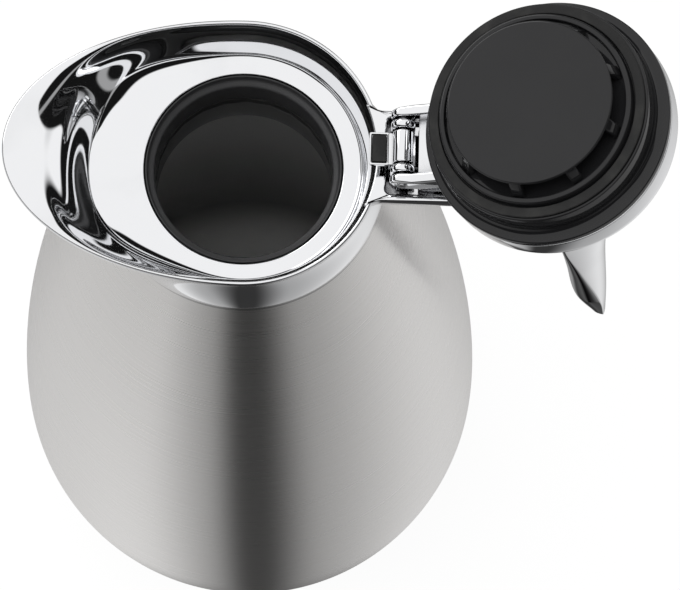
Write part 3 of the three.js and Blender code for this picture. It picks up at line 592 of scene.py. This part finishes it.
def collarBowl():  # one closed section per angle: hole, floor, wall, lip, rim, outside, skirt
    angle = around(collar["steps"])
    spout = np.minimum(np.cos(angle), 0) ** 2
    floorEdge = planRadius(angle, bowlSide + collar["floorOut"], bowlSide + collar["spoutFloor"])
    rimReach = bowlSide + collar["spoutFloor"] + collar["spoutWall"] + collar["spoutLip"]
    rim = planRadius(angle, rimSide, rimReach)
    crest = rim - collar["crestWidth"] - (collar["spoutLip"] - collar["crestWidth"]) * spout ** collar["lipPinch"]
    high = collar["rimHeight"]
    rimZ = floorZ + high
    drop = collar["crestDrop"] + (collar["spoutCrestDrop"] - collar["crestDrop"]) * spout**2
    crestZ = rimZ - drop
    turn = collar["rimRound"]
    hole = collar["mouth"] + gap - collar["holeIn"]
    sleeve = neck["throat"] + neck["sleeve"] + gap
    skirtLow = floorZ - collar["skirtDrop"]
    skirtInner = skirtSide - collar["skirtWall"]
    skirtFoot = skirtSide - collar["skirtIn"]

    def at(radius, height):  # one point of the section at every angle
        return np.stack([radius + 0 * angle, height + 0 * angle], -1)

    def line(*corners):  # straight run through corners at every angle
        return np.stack([at(*corner) for corner in corners], 1)

    run, climb = crest - floorEdge, crestZ - floorZ
    bend = collar["floorFillet"] - (collar["floorFillet"] - collar["spoutFillet"]) * spout
    bend = bend + collar["flankFillet"] * 4 * spout * (1 - spout)  # most at the flanks
    bend = np.minimum(bend, floorEdge - hole - collar["holeRound"] - collar["floorLeft"])
    pull = collar["cornerPull"] * bend
    wallX, wallZ = run / np.hypot(run, climb), climb / np.hypot(run, climb)
    fillet = bezier(
        at(floorEdge - bend, floorZ), at(floorEdge - pull, floorZ),
        at(floorEdge + pull * wallX, floorZ + pull * wallZ), at(floorEdge + bend * wallX, floorZ + bend * wallZ), 10,
    )
    foot = fillet[:, -1]
    top = at(crest, crestZ)
    lipRun = rim - turn - crest
    lipUp = at(lipRun, drop) * collar["lipStart"]
    reach = np.linalg.norm(top - foot, axis=1) / np.linalg.norm(lipUp, axis=1) / 3
    wall = bezier(foot, foot + (top - foot) / 3, top - lipUp * reach[:, None], top, 24)
    lipEnd = at(crest, rimZ) + at(lipRun, -drop) * collar["lipEnd"]
    lip = bezier(top, top + lipUp, lipEnd, at(rim - turn, rimZ), 30)
    edgeSide = rim - collar["edgeIn"] * turn
    edgeMid, edgeLow = (rimZ - share * turn for share in collar["edgeFall"])
    edge = bezier(
        at(rim - turn, rimZ), at(edgeSide, rimZ), at(rim + collar["edgeOut"] * turn, edgeMid), at(edgeSide, edgeLow), 8,
    )
    overhang = rim - rimSide
    hem, hemPull = (skirtLow + height for height in collar["hem"])
    outside = bezier(
        at(edgeSide, edgeLow), at(rimSide, edgeLow) + at(overhang, -high) * collar["hangStart"],
        at(skirtSide + collar["skirtBulge"], floorZ) + at(overhang, high) * collar["hangEnd"], at(skirtFoot, hem), 26,
    )
    seatZ = floorZ - collar["seatDepth"]
    holeTurn = collar["holeRound"]
    holePull = collar["cornerPull"] * holeTurn
    holeEdge = bezier(
        at(hole, floorZ - holeTurn), at(hole, floorZ - holePull), at(hole + holePull, floorZ),
        at(hole + holeTurn, floorZ), 6,
    )
    skirt = bezier(
        at(skirtFoot, hem), at(skirtFoot, hemPull), *(at(skirtFoot - cut, skirtLow) for cut in collar["hemIn"]), 5,
    )
    sections = np.concatenate([
        line((sleeve, underFloor), (sleeve, seatZ), (hole, seatZ)), holeEdge, fillet,
        *(part[:, 1:] for part in (wall, lip, edge, outside, skirt)),
        line((skirtInner, skirtLow), (skirtInner, underFloor)),
    ], 1)
    return carried(sections, angle), gridFaces(*sections.shape[:2], True, True)


tray = {
    "length": 27.0, "half": 11.2, "endHalf": 11.0, "fillet": 1.6, "filletPull": 0.3, "depth": 7.0, "lip": 3.4,
    "overhang": 1.2, "floor": 3.0, "edge": 1.7, "pocketStart": 0.9, "pocketEnd": 3.5, "pocketCorner": 1.2,
    "round": 0.55, "root": 31.5, "keelRound": 0.2,
}
trayEnd = rimSide + tray["length"]
trayTop = floorZ + collar["rimHeight"]
trayBottom = trayTop - tray["depth"]
pocketFloor = trayBottom + tray["floor"]


def resample(outline, count):  # evenly spaced points along a closed outline
    closed = np.concatenate([outline, outline[:1]])
    along = np.concatenate([[0], np.cumsum(np.linalg.norm(np.diff(closed, axis=0), axis=1))])
    at = np.linspace(0, along[-1], count, endpoint=False)
    return np.stack([np.interp(at, along, closed[:, i]) for i in (0, 1)], -1)


def trayPlan():  # from the rim out to the handle, with a fillet on each side
    root, half = tray["root"], tray["half"]
    flare = half + tray["fillet"]
    start = np.sqrt(root**2 - flare**2)
    pull = tray["filletPull"] * tray["fillet"]
    side = bezier((start, flare), (root - pull, half + pull), (root + pull, half), (root + tray["fillet"], half), 14)
    upper = np.concatenate([side, [(trayEnd, tray["endHalf"])]])
    reach = np.degrees(np.arcsin(flare / root))
    back = arc((0, 0), root, -reach, reach, 24)
    return np.concatenate([upper[::-1], back[::-1][1:-1], upper * (1, -1)])


# rounded block with a pocket: rings go up the outside, over the edge and down to the pocket's floor
def dish(outer, inner, middle, low, high, floor, small):
    count = 240
    centre = 0.02  # the underside starts at this share of its size
    cut, up = small * edgeCut, small * edgeRise

    def startAtEnd(outline):  # both outlines start where they cross +X
        even = resample(tidyOutline(outline), count * 4)
        angle = np.arctan2(even[:, 1], even[:, 0] - middle)
        return resample(np.roll(even, -int(np.argmin(np.abs(angle))), 0), count)

    outer, inner = startAtEnd(outer), startAtEnd(inner)
    rings = [atHeight((middle, 0) + centre * (outer - (middle, 0)), low)]
    rings += rims(outer, cut, low + up) + rims(outer, up, high - cut)
    rings += rims(inner, -cut, high - up) + rims(inner, up, floor + cut)
    return stack(rings)


def hingeTray():  # overhanging edge, narrower keel below, pocket above
    pocketHalf = tray["half"] - tray["edge"]
    pocket = box(rimSide + tray["pocketStart"], trayEnd - tray["pocketEnd"], pocketHalf, tray["pocketCorner"])
    middle = (rimSide + trayEnd) / 2
    lipZ = trayTop - tray["lip"]
    keel = box(tray["root"], trayEnd, tray["half"] - tray["overhang"], 0)
    return [
        dish(trayPlan(), pocket, middle, lipZ, trayTop, pocketFloor, tray["round"]),
        slab(keel, trayBottom, lipZ + tray["keelRound"], tray["keelRound"]),
    ]


lug = {"radius": 2.9, "inner": 4.35, "outer": 6.6, "round": 0.95}


def hingeLug(side):  # upright cheek with a domed top round the pin
    half = lug["radius"]
    foot = pocketFloor - tray["floor"] / 2
    dome = arc((pinX, pinZ), half, 0, 180, 28)
    shape = np.concatenate([[(pinX - half, foot), (pinX + half, foot)], dome])
    return slab(shape, *sorted((side * lug["inner"], side * lug["outer"])), lug["round"], "Y")


makePiece("pouringCollar", [collarBowl(), *hingeTray(), hingeLug(1), hingeLug(-1)], "chrome", "jug", "collar")
print("collar made")


# Handle

handle = {
    "tongueLength": 16.0, "tongueHalf": 8.0, "tongueThick": 3.2, "tongueOver": 4, "tongueRound": 0.5, "rings": 150,
    "across": 40, "outerRound": 0.85, "innerRound": 0.42,
    # inner and outer edge as [length from the tray's end, height over the bowl's floor], half width, crease, bulge
    "stations": [
        ((0, 2.4), (0, 12.8), 10.4, 0.5, 7),
        ((8.5, -1.2), (12.5, 10.8), 10.4, 0.42, 5),
        ((15, -13), (24, 1.5), 10.0, 0.3, 3.6),
        ((17.2, -32), (28.4, -23), 9.0, 0.14, 2.8),
        ((21.2, -63), (30.8, -56), 7.2, 0.46, 2.3),
        ((25.8, -94), (33.8, -90), 4.9, 0.84, 2.1),
        ((30.9, -108.5), (35.2, -110), 2.7, 0.88, 2),
    ],
}


def smoothThrough(points, share):  # centripetal spline through points, at shares of their count
    points = np.asarray(points, float)
    padded = np.concatenate([[2 * points[0] - points[1]], points, [2 * points[-1] - points[-2]]])
    place = share * (len(points) - 1)
    first = np.minimum(place.astype(int), len(points) - 2)
    t = (place - first)[:, None]
    a, b, c, d = (padded[first + i] for i in range(4))
    ab, bc, cd = (np.sqrt(np.linalg.norm(q - p, axis=1, keepdims=True)) for p, q in ((a, b), (b, c), (c, d)))
    leave = bc * ((b - a) / ab - (c - a) / (ab + bc) + (c - b) / bc)
    reach = bc * ((c - b) / bc - (d - b) / (bc + cd) + (d - c) / cd)
    return b + leave * t + (3 * c - 3 * b - 2 * leave - reach) * t**2 + (2 * b - 2 * c + leave + reach) * t**3


def handleGrip():  # lens-shaped sections from the inner edge to the outer edge, creased on both sides
    share = np.linspace(0, 1, handle["rings"])
    stations = handle["stations"]
    inner, outer = (smoothThrough([station[i] for station in stations], share) for i in (0, 1))
    half, crease, bulge = smoothThrough([station[2:] for station in stations], share).T[:, :, None]
    turn = np.linspace(-1, 1, 2 * handle["across"] + 1)
    v = np.sin(turn * np.pi / 2)[None, :]
    left = 1 - np.abs(v) ** bulge
    outward = crease + (1 - crease) * left ** handle["outerRound"]
    inward = (crease * (1 - left ** handle["innerRound"]))[:, ::-1]
    depth = np.concatenate([outward, inward[:, 1:-1]], 1)[..., None]
    across = np.concatenate([v * half, (v * half)[:, ::-1][:, 1:-1]], 1)
    flat = inner[:, None] + (outer - inner)[:, None] * depth
    return stack(np.stack([trayEnd + gap + flat[..., 0], across, floorZ + flat[..., 1]], -1))


def handleTongue():  # flat bar under the tray, running into the grip
    top = trayBottom - gap
    low = top - handle["tongueThick"]
    start, end = trayEnd - handle["tongueLength"], trayEnd + handle["tongueOver"]
    shape = [(start, low), (end, low), (end, top), (start, top)]
    return slab(shape, -handle["tongueHalf"], handle["tongueHalf"], handle["tongueRound"], "Y")


makePiece("openHandle", [handleGrip(), handleTongue()], "chrome", "jug", "handle", sharp=50)
print("handle made")


# Hinge pin and thumb lever

pin = {"radius": 1.2, "half": 9.7, "round": 0.35}


def hingePin():  # plain rod with rounded ends
    radius, half, turn = pin["radius"], pin["half"], pin["round"]
    rod = spin(rounded([(0, -half, 0), (radius, -half, turn), (radius, half, turn), (0, half, 0)]), 48)
    return moved(turnY(rod), pinAt)


lever = {
    "barrel": 2.4, "barrelRound": 0.35, "boreRound": 0.1, "half": 3.9, "finger": 7.9, "fingerThick": 1.1,
    "fingerSink": 1.0, "plate": 4.7, "plateHalf": 4.0, "plateCorner": 0.5, "plateRound": 0.12, "linkOver": 0.3,
    "linkEnd": 0.8, "linkRound": 0.25, "bumperEdge": 0.45, "bumperSink": 0.3, "bumperThick": 0.5, "bumperCorner": 0.3,
    "armTop": 1.6, "armHalf": 1.0, "armFoot": 0.4, "armOver": 2, "armRound": 0.3, "padStart": 3.6, "padEnd": 17.0,
    "padHalf": 6.4, "padThick": 1.6, "padSink": 3.4, "padCorner": 1.6, "padRound": 0.5,
}
leverTip = -lever["finger"]
plateEnd = leverTip + lever["plate"]


def plateBox(edge, corner):  # the finger plate's outline, cut in by an edge
    return box(leverTip + edge, plateEnd - edge, lever["plateHalf"] - edge, corner)


def thumbLever():  # barrel on the pin, finger plate towards the bowl, pad behind
    half = lever["half"]
    bore = pin["radius"] + gap
    side, turn, small = lever["barrel"], lever["barrelRound"], lever["boreRound"]
    barrel = turnY(spin(rounded([
        (bore, -half, small), (side, -half, turn), (side, half, turn), (bore, half, small),
    ]), 64))
    top = -lever["fingerSink"]
    low = top - lever["fingerThick"]
    plate = dish(
        plateBox(0, lever["plateCorner"]), plateBox(lever["bumperEdge"], lever["bumperCorner"]),
        (leverTip + plateEnd) / 2, low, top, top - lever["bumperSink"] - gap, lever["plateRound"],
    )
    start, end = plateEnd - lever["linkOver"], -lever["linkEnd"]
    link = slab([(start, low), (end, low), (end, top), (start, top)], -half, half, lever["linkRound"], "Y")
    padTop = -lever["padSink"] + lever["padThick"] / 2
    padLow = padTop - lever["padThick"]
    armEnd = lever["padStart"] + lever["armOver"]
    arm = slab(
        [(-lever["armHalf"], -lever["armTop"]), (lever["armHalf"], -lever["armTop"]), (lever["padStart"], padTop),
         (armEnd, padTop), (armEnd, padLow), (-lever["armFoot"], padLow)],
        -half, half, lever["armRound"], "Y",
    )
    outline = box(lever["padStart"], lever["padEnd"], lever["padHalf"], lever["padCorner"])
    pad = slab(outline, padLow, padTop, lever["padRound"])
    return [moved(shell, pinAt) for shell in (barrel, plate, link, arm, pad)]


def fingerBumper():  # thin pad in the finger plate's pocket
    shape = plateBox(lever["bumperEdge"] + gap, lever["bumperCorner"])
    low = -lever["fingerSink"] - lever["bumperSink"]
    return moved(slab(shape, low, low + lever["bumperThick"], lever["plateRound"]), pinAt)


makePiece("hingeRod", [hingePin()], "screw_steel", "jug", "hinge_pin")
makePiece("thumbPiece", thumbLever(), "chrome", "lever", "thumb_lever")
makePiece("bumper", [fingerBumper()], "rubber", "lever", "finger_bumper")
print("hinge made")


# Lid

lid = {
    "seatHeight": 9.0, "band": 7.3, "dome": 13.0, "wall": 1.1, "lip": 0.3, "flange": 2.0, "stepClear": 1.5,
    "stepDepth": 7.7, "plugClear": 1.1, "taper": 0.3, "plugEnd": 10.2, "plugWall": 2.6, "plugRound": 0.5, "fillet": 2.1,
    "rim": 1.3, "plate": 1.8, "recess": 1.6, "discDepth": 14.8, "discTaper": 1.6, "discThick": 1.4, "legs": 9,
    "legWidth": 2.8, "legThick": 2.0, "legRound": 0.5, "legKnee": (0.9, 0.15), "legTip": (0.35, -0.25),
    "sealWidth": 2.2, "sealHeight": 0.7, "screwHole": 1.7,
}
shellInner = lidSide - lid["wall"]
shellZ = lid["flange"] + gap
stepSide = bowlSide - lid["stepClear"]
plugSide = collar["mouth"] - lid["plugClear"]
plugEndSide = plugSide - lid["taper"]
recessSide = plugEndSide - lid["rim"]
recessZ = lid["recess"] - lid["plugEnd"]
legSide = recessSide - gap
discSide = legSide - lid["discTaper"]


def domeLine(side, height, steps):  # quarter ellipse from the band up to the axis
    turn = np.linspace(0, np.pi / 2, steps + 1)
    line = np.stack([side * np.cos(turn), lid["band"] + height * np.sin(turn)], -1)
    line[-1, 0] = 0
    return line


def lidCup():  # dome and band outside, the same a wall further in, open below
    outside = domeLine(lidSide, lid["dome"], 40)[::-1]
    inside = domeLine(shellInner, lid["dome"] - lid["wall"], 30)
    lip = rounded([
        (lidSide, lid["band"], 0), (lidSide, shellZ, lid["lip"]), (shellInner, shellZ, 0.2),
        (shellInner, lid["band"], 0),
    ])
    return spin(np.concatenate([outside[:-1], lip, inside[1:]]), 224)


ear = {
    "radius": 3.0, "inner": 7.1, "outer": 9.7, "drop": 2.5, "rise": 1.6, "thick": 1.5, "start": 3.4, "length": 15.0,
    "round": 0.7, "taper": 0.25,
}
pinLift = pinZ - floorZ - lid["seatHeight"]


def offTheDome(points):  # drawn from the pin; a point inside the lid moves out along X to just off its surface
    x, y, z = points.T
    share = np.clip((z + pinLift - lid["band"]) / lid["dome"], 0, 1)
    radius = lidSide * np.sqrt(1 - share**2)
    surface = np.sqrt(np.maximum(radius**2 - y**2, 0)) + gap - pinX
    return np.stack([np.maximum(x, surface), y, z], -1)


def lidArms():  # two ears on the pin and the bridge between them
    top = ear["rise"] + ear["thick"]
    nose = arc((0, 0), ear["radius"], -90, 90, 20)
    end = np.linspace(top, -ear["drop"], 24)
    side = np.concatenate([
        np.column_stack([0 * end - ear["length"], end]), [(-ear["radius"], -ear["drop"])], nose,
        [(-ear["start"], top)],
    ])
    middle = (ear["inner"] + ear["outer"]) / 2
    reach = np.linspace(top, ear["rise"], 9)
    web = np.concatenate([
        np.column_stack([0 * reach - ear["length"], reach]), [(-ear["start"], ear["rise"]), (-ear["start"], top)],
    ])
    rows = [np.column_stack([web[:, 0], 0 * web[:, 0] + y, web[:, 1]]) for y in np.linspace(-middle, middle, 33)]

    def tapered(shell):  # the outer cheek leans in towards the pin
        x, y, z = shell[0].T
        lean = np.clip((x + ear["radius"]) / (2 * ear["radius"]), 0, 1) * (np.abs(y) - ear["inner"]) / ear["inner"]
        return np.stack([x, y * (1 - ear["taper"] * lean), z], -1), shell[1]

    spans = ((ear["inner"], ear["outer"]), (-ear["outer"], -ear["inner"]))
    shells = [tapered(slab(side, *span, ear["round"], "Y")) for span in spans] + [stack(rows)]
    return [moved((offTheDome(points), faces), (pinX, 0, pinLift)) for points, faces in shells]


def lidPlug():  # flange over the shell's edge, step in the bowl, end in the mouth with a recess for the disc
    plateTop = recessZ + lid["plate"]
    bore = plugEndSide - lid["plugWall"]
    turn = lid["plugRound"]
    hole = lid["screwHole"]
    return spin(rounded([
        (hole, recessZ, 0), (recessSide, recessZ, 0.3), (recessSide, -lid["plugEnd"], 0.25),
        (plugEndSide, -lid["plugEnd"], turn), (plugSide, -lid["stepDepth"], 0.4), (stepSide, -lid["stepDepth"], turn),
        (stepSide, 0, lid["fillet"]), (lidSide, 0, turn), (lidSide, lid["flange"], 0.2), (bore, lid["flange"], 0.2),
        (bore, plateTop, 0.2), (hole, plateTop, 0),
    ]), 224)


def plugDisc():  # disc on a ring of legs that lean in towards it, with open slots between them
    face = -lid["discDepth"]
    disc = slab(arc((0, 0), discSide, 0, 360, 180)[:-1], face, face + lid["discThick"], lid["plugRound"])
    knee, tip = np.array((face, discSide)) + (lid["legKnee"], lid["legTip"])
    levels = [(recessZ - gap, legSide), (-lid["plugEnd"], legSide), knee, tip]
    shells = [disc]
    for angle in np.radians(360 / lid["legs"] * np.arange(lid["legs"])):
        rings = []
        for height, outer in levels:
            x, y = box(outer - lid["legThick"], outer, lid["legWidth"] / 2, lid["legRound"]).T
            turned = [x * np.cos(angle) - y * np.sin(angle), x * np.sin(angle) + y * np.cos(angle)]
            rings.append(atHeight(np.stack(turned, -1), height))
        shells.append(stack(rings))
    return shells


def plugSeal():  # flat washer under the plug's step
    inner = plugSide + gap
    top = -lid["stepDepth"] - gap
    low = top - lid["sealHeight"]
    outer = inner + lid["sealWidth"]
    return spin(rounded([(inner, top, 0.2), (outer, top, 0.3), (outer, low, 0.3), (inner, low, 0.2)]), 160)


makePiece("lidDome", [openLid(lidCup())], "chrome", "lid", "lid_shell")
makePiece("lidHinge", [openLid(shell) for shell in lidArms()], "chrome", "lid", "lid_bracket")
makePiece("lidStopper", [openLid(lidPlug())], "black_plastic", "lid", "lid_plug")
makePiece("stopperDisc", [openLid(shell) for shell in plugDisc()], "black_plastic", "lid", "plug_disc")
makePiece("stopperSeal", [openLid(plugSeal())], "rubber", "lid", "plug_seal")
print("lid made")


# Hidden pieces keep their CAD shape

hiddenFinish = {
    "rubber": ("flask_cushion", "neck_gasket", "mouth_seal"), "base_plastic": ("clamp_ring",), "foam": ("lid_foam",),
    "screw_steel": ("lid_screw", "handle_screw_front", "handle_screw_rear"),
}
for slotName, nodes in hiddenFinish.items():
    for node in nodes:
        for slot in frame["nodes"][node].material_slots:
            slot.material = finishes[slotName]
print("hidden pieces finished")


# Floor, light and camera

stage = {
    "size": 6.0, "points": 9, "sink": 0.0002, "cloudScale": 3.0, "colour": (0.90, 0.90, 0.90),
    "shade": (0.86, 0.86, 0.86), "white": 0.95,
}


def floorFinish():  # pale floor: mostly white to the camera, with the shadow left in
    material = bpy.data.materials.new("paleFloor")
    material.use_nodes = True
    graph = Graph(material.node_tree)
    colour = graph.blend(graph.noise(stage["cloudScale"]), stage["colour"], stage["shade"])
    plain = graph.add("ShaderNodeBsdfDiffuse", {}, {"Color": colour})
    white = graph.add("ShaderNodeEmission", {}, {"Color": (1, 1, 1, 1), "Strength": 1.0})
    seen = graph.add("ShaderNodeLightPath", output="Is Camera Ray")
    mixed = graph.add("ShaderNodeMixShader", {}, {0: stage["white"] * seen, 1: plain, 2: white})
    graph.add("ShaderNodeOutputMaterial", {}, {"Surface": mixed})
    return material


reach = np.linspace(-stage["size"] / 2, stage["size"] / 2, stage["points"])
across, along = np.meshgrid(reach, reach)
floorPoints = np.stack([across, along, 0 * across - stage["sink"]], -1).reshape(-1, 3)
floorMesh = bpy.data.meshes.new("floor")
floorMesh.from_pydata(floorPoints.tolist(), [], gridFaces(*across.shape))
floorMesh.materials.append(floorFinish())
floor = bpy.data.objects.new("floor", floorMesh)
bpy.context.scene.collection.objects.link(floor)
floor.visible_glossy = False

studio = {  # a pair is a change's start and end, in Z where named so, else in degrees
    "ambient": 0.55, "dark": 0.008, "valley": 0.035, "valleyTurn": 1.5, "nearRise": 0.30, "near": (6, 31),
    "farRise": 0.42, "far": (15, 92), "leftFaster": 1.75, "leftMost": 74, "backDrop": 0.42, "back": (92, 170),
    "steepLift": 1.06, "shallowDrop": 0.24, "shallowZ": (-0.95, -0.45), "leftGlow": 0.16, "glow": (60, 100),
    "glowZ": (-0.97, -0.8), "underDark": 0.9, "underZ": (-0.995, -0.98), "backLift": 0.45, "lift": (120, 142),
    "liftZ": (-0.5, -0.25), "horizonZ": (-0.11, -0.03), "roof": 28, "roofSoft": 2.5,
    "roofSteps": [(-165, -150, -7), (-61, -49, 10), (30, 60, 21), (82, 99, -28), (99, 140, -14), (146, 160, 18)],
    "gapLevel": 0.36, "gap": (37, 45), "gapSlant": 1.2, "gapSoft": 1.5, "boxLevel": 3.0, "boxTurn": (-160, -112),
    "boxRise": (16, 34), "boxSoft": 3,
}


# white above, a dark room low in front, and below it a floor that pales from dark in front to the sides
def studioWorld():
    world = bpy.data.worlds.new("studio")
    bpy.context.scene.world = world
    world.use_nodes = True
    graph = Graph(world.node_tree)
    angle = {key: np.radians(value) for key, value in studio.items()}
    x, y, z = graph.axes("Generated")
    turn = graph.math("ARCTAN2", x, 0 - y)  # 0 towards the front, positive to the right
    rise = graph.math("ARCSINE", z)

    def inside(value, low, high, blur):  # 1 between low and high, with soft ends
        return graph.step(value, low - blur, low + blur) * (1 - graph.step(value, high - blur, high + blur))

    roof = angle["roof"]
    for start, end, height in angle["roofSteps"]:
        roof += height * graph.step(turn, start, end)
    room = 1 - graph.step(rise, roof - angle["roofSoft"], roof + angle["roofSoft"])
    gapTurn = turn - studio["gapSlant"] * rise
    gapLight = studio["gapLevel"] * inside(gapTurn, *angle["gap"], angle["gapSoft"])
    sky = 1 - (1 - studio["dark"] - gapLight) * room
    window = inside(turn, *angle["boxTurn"], angle["boxSoft"]) * inside(rise, *angle["boxRise"], angle["boxSoft"])
    sky += studio["boxLevel"] * window
    offset = turn - angle["valleyTurn"]
    left = graph.math("MINIMUM", -studio["leftFaster"] * offset, angle["leftMost"])
    aside = graph.math("MAXIMUM", offset, left)
    ground = studio["valley"] + studio["nearRise"] * graph.step(aside, *angle["near"])
    ground += studio["farRise"] * graph.step(aside, *angle["far"])
    ground -= studio["backDrop"] * graph.step(abs(turn), *angle["back"])
    ground *= studio["steepLift"] - studio["shallowDrop"] * graph.step(z, *studio["shallowZ"])
    glowFrom, glowTo = angle["glow"]
    glow = graph.step(0 - turn, angle["far"][0], glowFrom) * graph.step(turn, -glowTo, -glowFrom)
    ground += studio["leftGlow"] * glow * (1 - graph.step(z, *studio["glowZ"]))
    ground *= 1 - studio["underDark"] * (1 - graph.step(z, *studio["underZ"]))
    lift = graph.step(abs(turn), *angle["lift"]) * graph.step(z, *studio["liftZ"])
    ground += studio["backLift"] * lift
    seen = ground + graph.step(z, *studio["horizonZ"]) * (sky - ground)
    rays = ("Is Camera Ray", "Is Glossy Ray", "Is Transmission Ray")
    camera, glossy, through = (graph.add("ShaderNodeLightPath", output=ray) for ray in rays)
    mirror = graph.math("MAXIMUM", glossy, through)
    strength = camera + (1 - camera) * (mirror * seen + (1 - mirror) * studio["ambient"])
    light = graph.add("ShaderNodeBackground", {}, {"Color": (1, 1, 1, 1), "Strength": strength})
    graph.add("ShaderNodeOutputWorld", {}, {"Surface": light})


lampAim = (0, 0, 0.15)
lamps = {  # metres and watts
    "topBox": {"place": (-0.3, 0.2, 1.7), "size": (1.4, 1.4), "power": 34.0},
    "sideBox": {"place": (-1.3, -0.7, 1.0), "size": (0.9, 1.2), "power": 6.0},
}


def softbox(name, place, size, power):  # rectangle of light turned towards the aim, left out of reflections
    lamp = bpy.data.lights.new(name, "AREA")
    lamp.shape = "RECTANGLE"
    lamp.size, lamp.size_y = size
    lamp.energy = power
    holder = bpy.data.objects.new(name, lamp)
    bpy.context.scene.collection.objects.link(holder)
    toward = Vector(lampAim) - Vector(place)
    holder.matrix_world = Matrix.Translation(place) @ toward.to_track_quat("-Z", "Y").to_matrix().to_4x4()
    holder.visible_glossy = False


studioWorld()
for name, lamp in lamps.items():
    softbox(name, **lamp)

view = {"place": (18.2, -278.9, 1105.2), "pitch": 74.0, "yaw": 1.31, "roll": -2.89, "focal": 3800.0, "width": 680.0}


def photoCamera():  # looking down at the pitch, turned by yaw, tilted by roll
    pitch, yaw, roll = (np.radians(view[k]) for k in ("pitch", "yaw", "roll"))
    forward = np.array((np.sin(yaw) * np.cos(pitch), np.cos(yaw) * np.cos(pitch), -np.sin(pitch)))
    right = np.array((np.cos(yaw), -np.sin(yaw), 0))
    down = np.cross(forward, right)
    right, down = np.cos(roll) * right + np.sin(roll) * down, np.cos(roll) * down - np.sin(roll) * right
    data = bpy.data.cameras.new("photoCamera")
    data.sensor_fit = "HORIZONTAL"
    data.sensor_width = 36.0
    data.lens = data.sensor_width * view["focal"] / view["width"]
    holder = bpy.data.objects.new("photoCamera", data)
    turn = Matrix(np.stack([right, -down, -forward], 1).tolist()).to_4x4()
    holder.matrix_world = Matrix.Translation(np.array(view["place"]) * mm) @ turn
    bpy.context.scene.collection.objects.link(holder)
    bpy.context.scene.camera = holder


photoCamera()
bpy.context.scene.view_settings.view_transform = "Standard"
print("stage set")
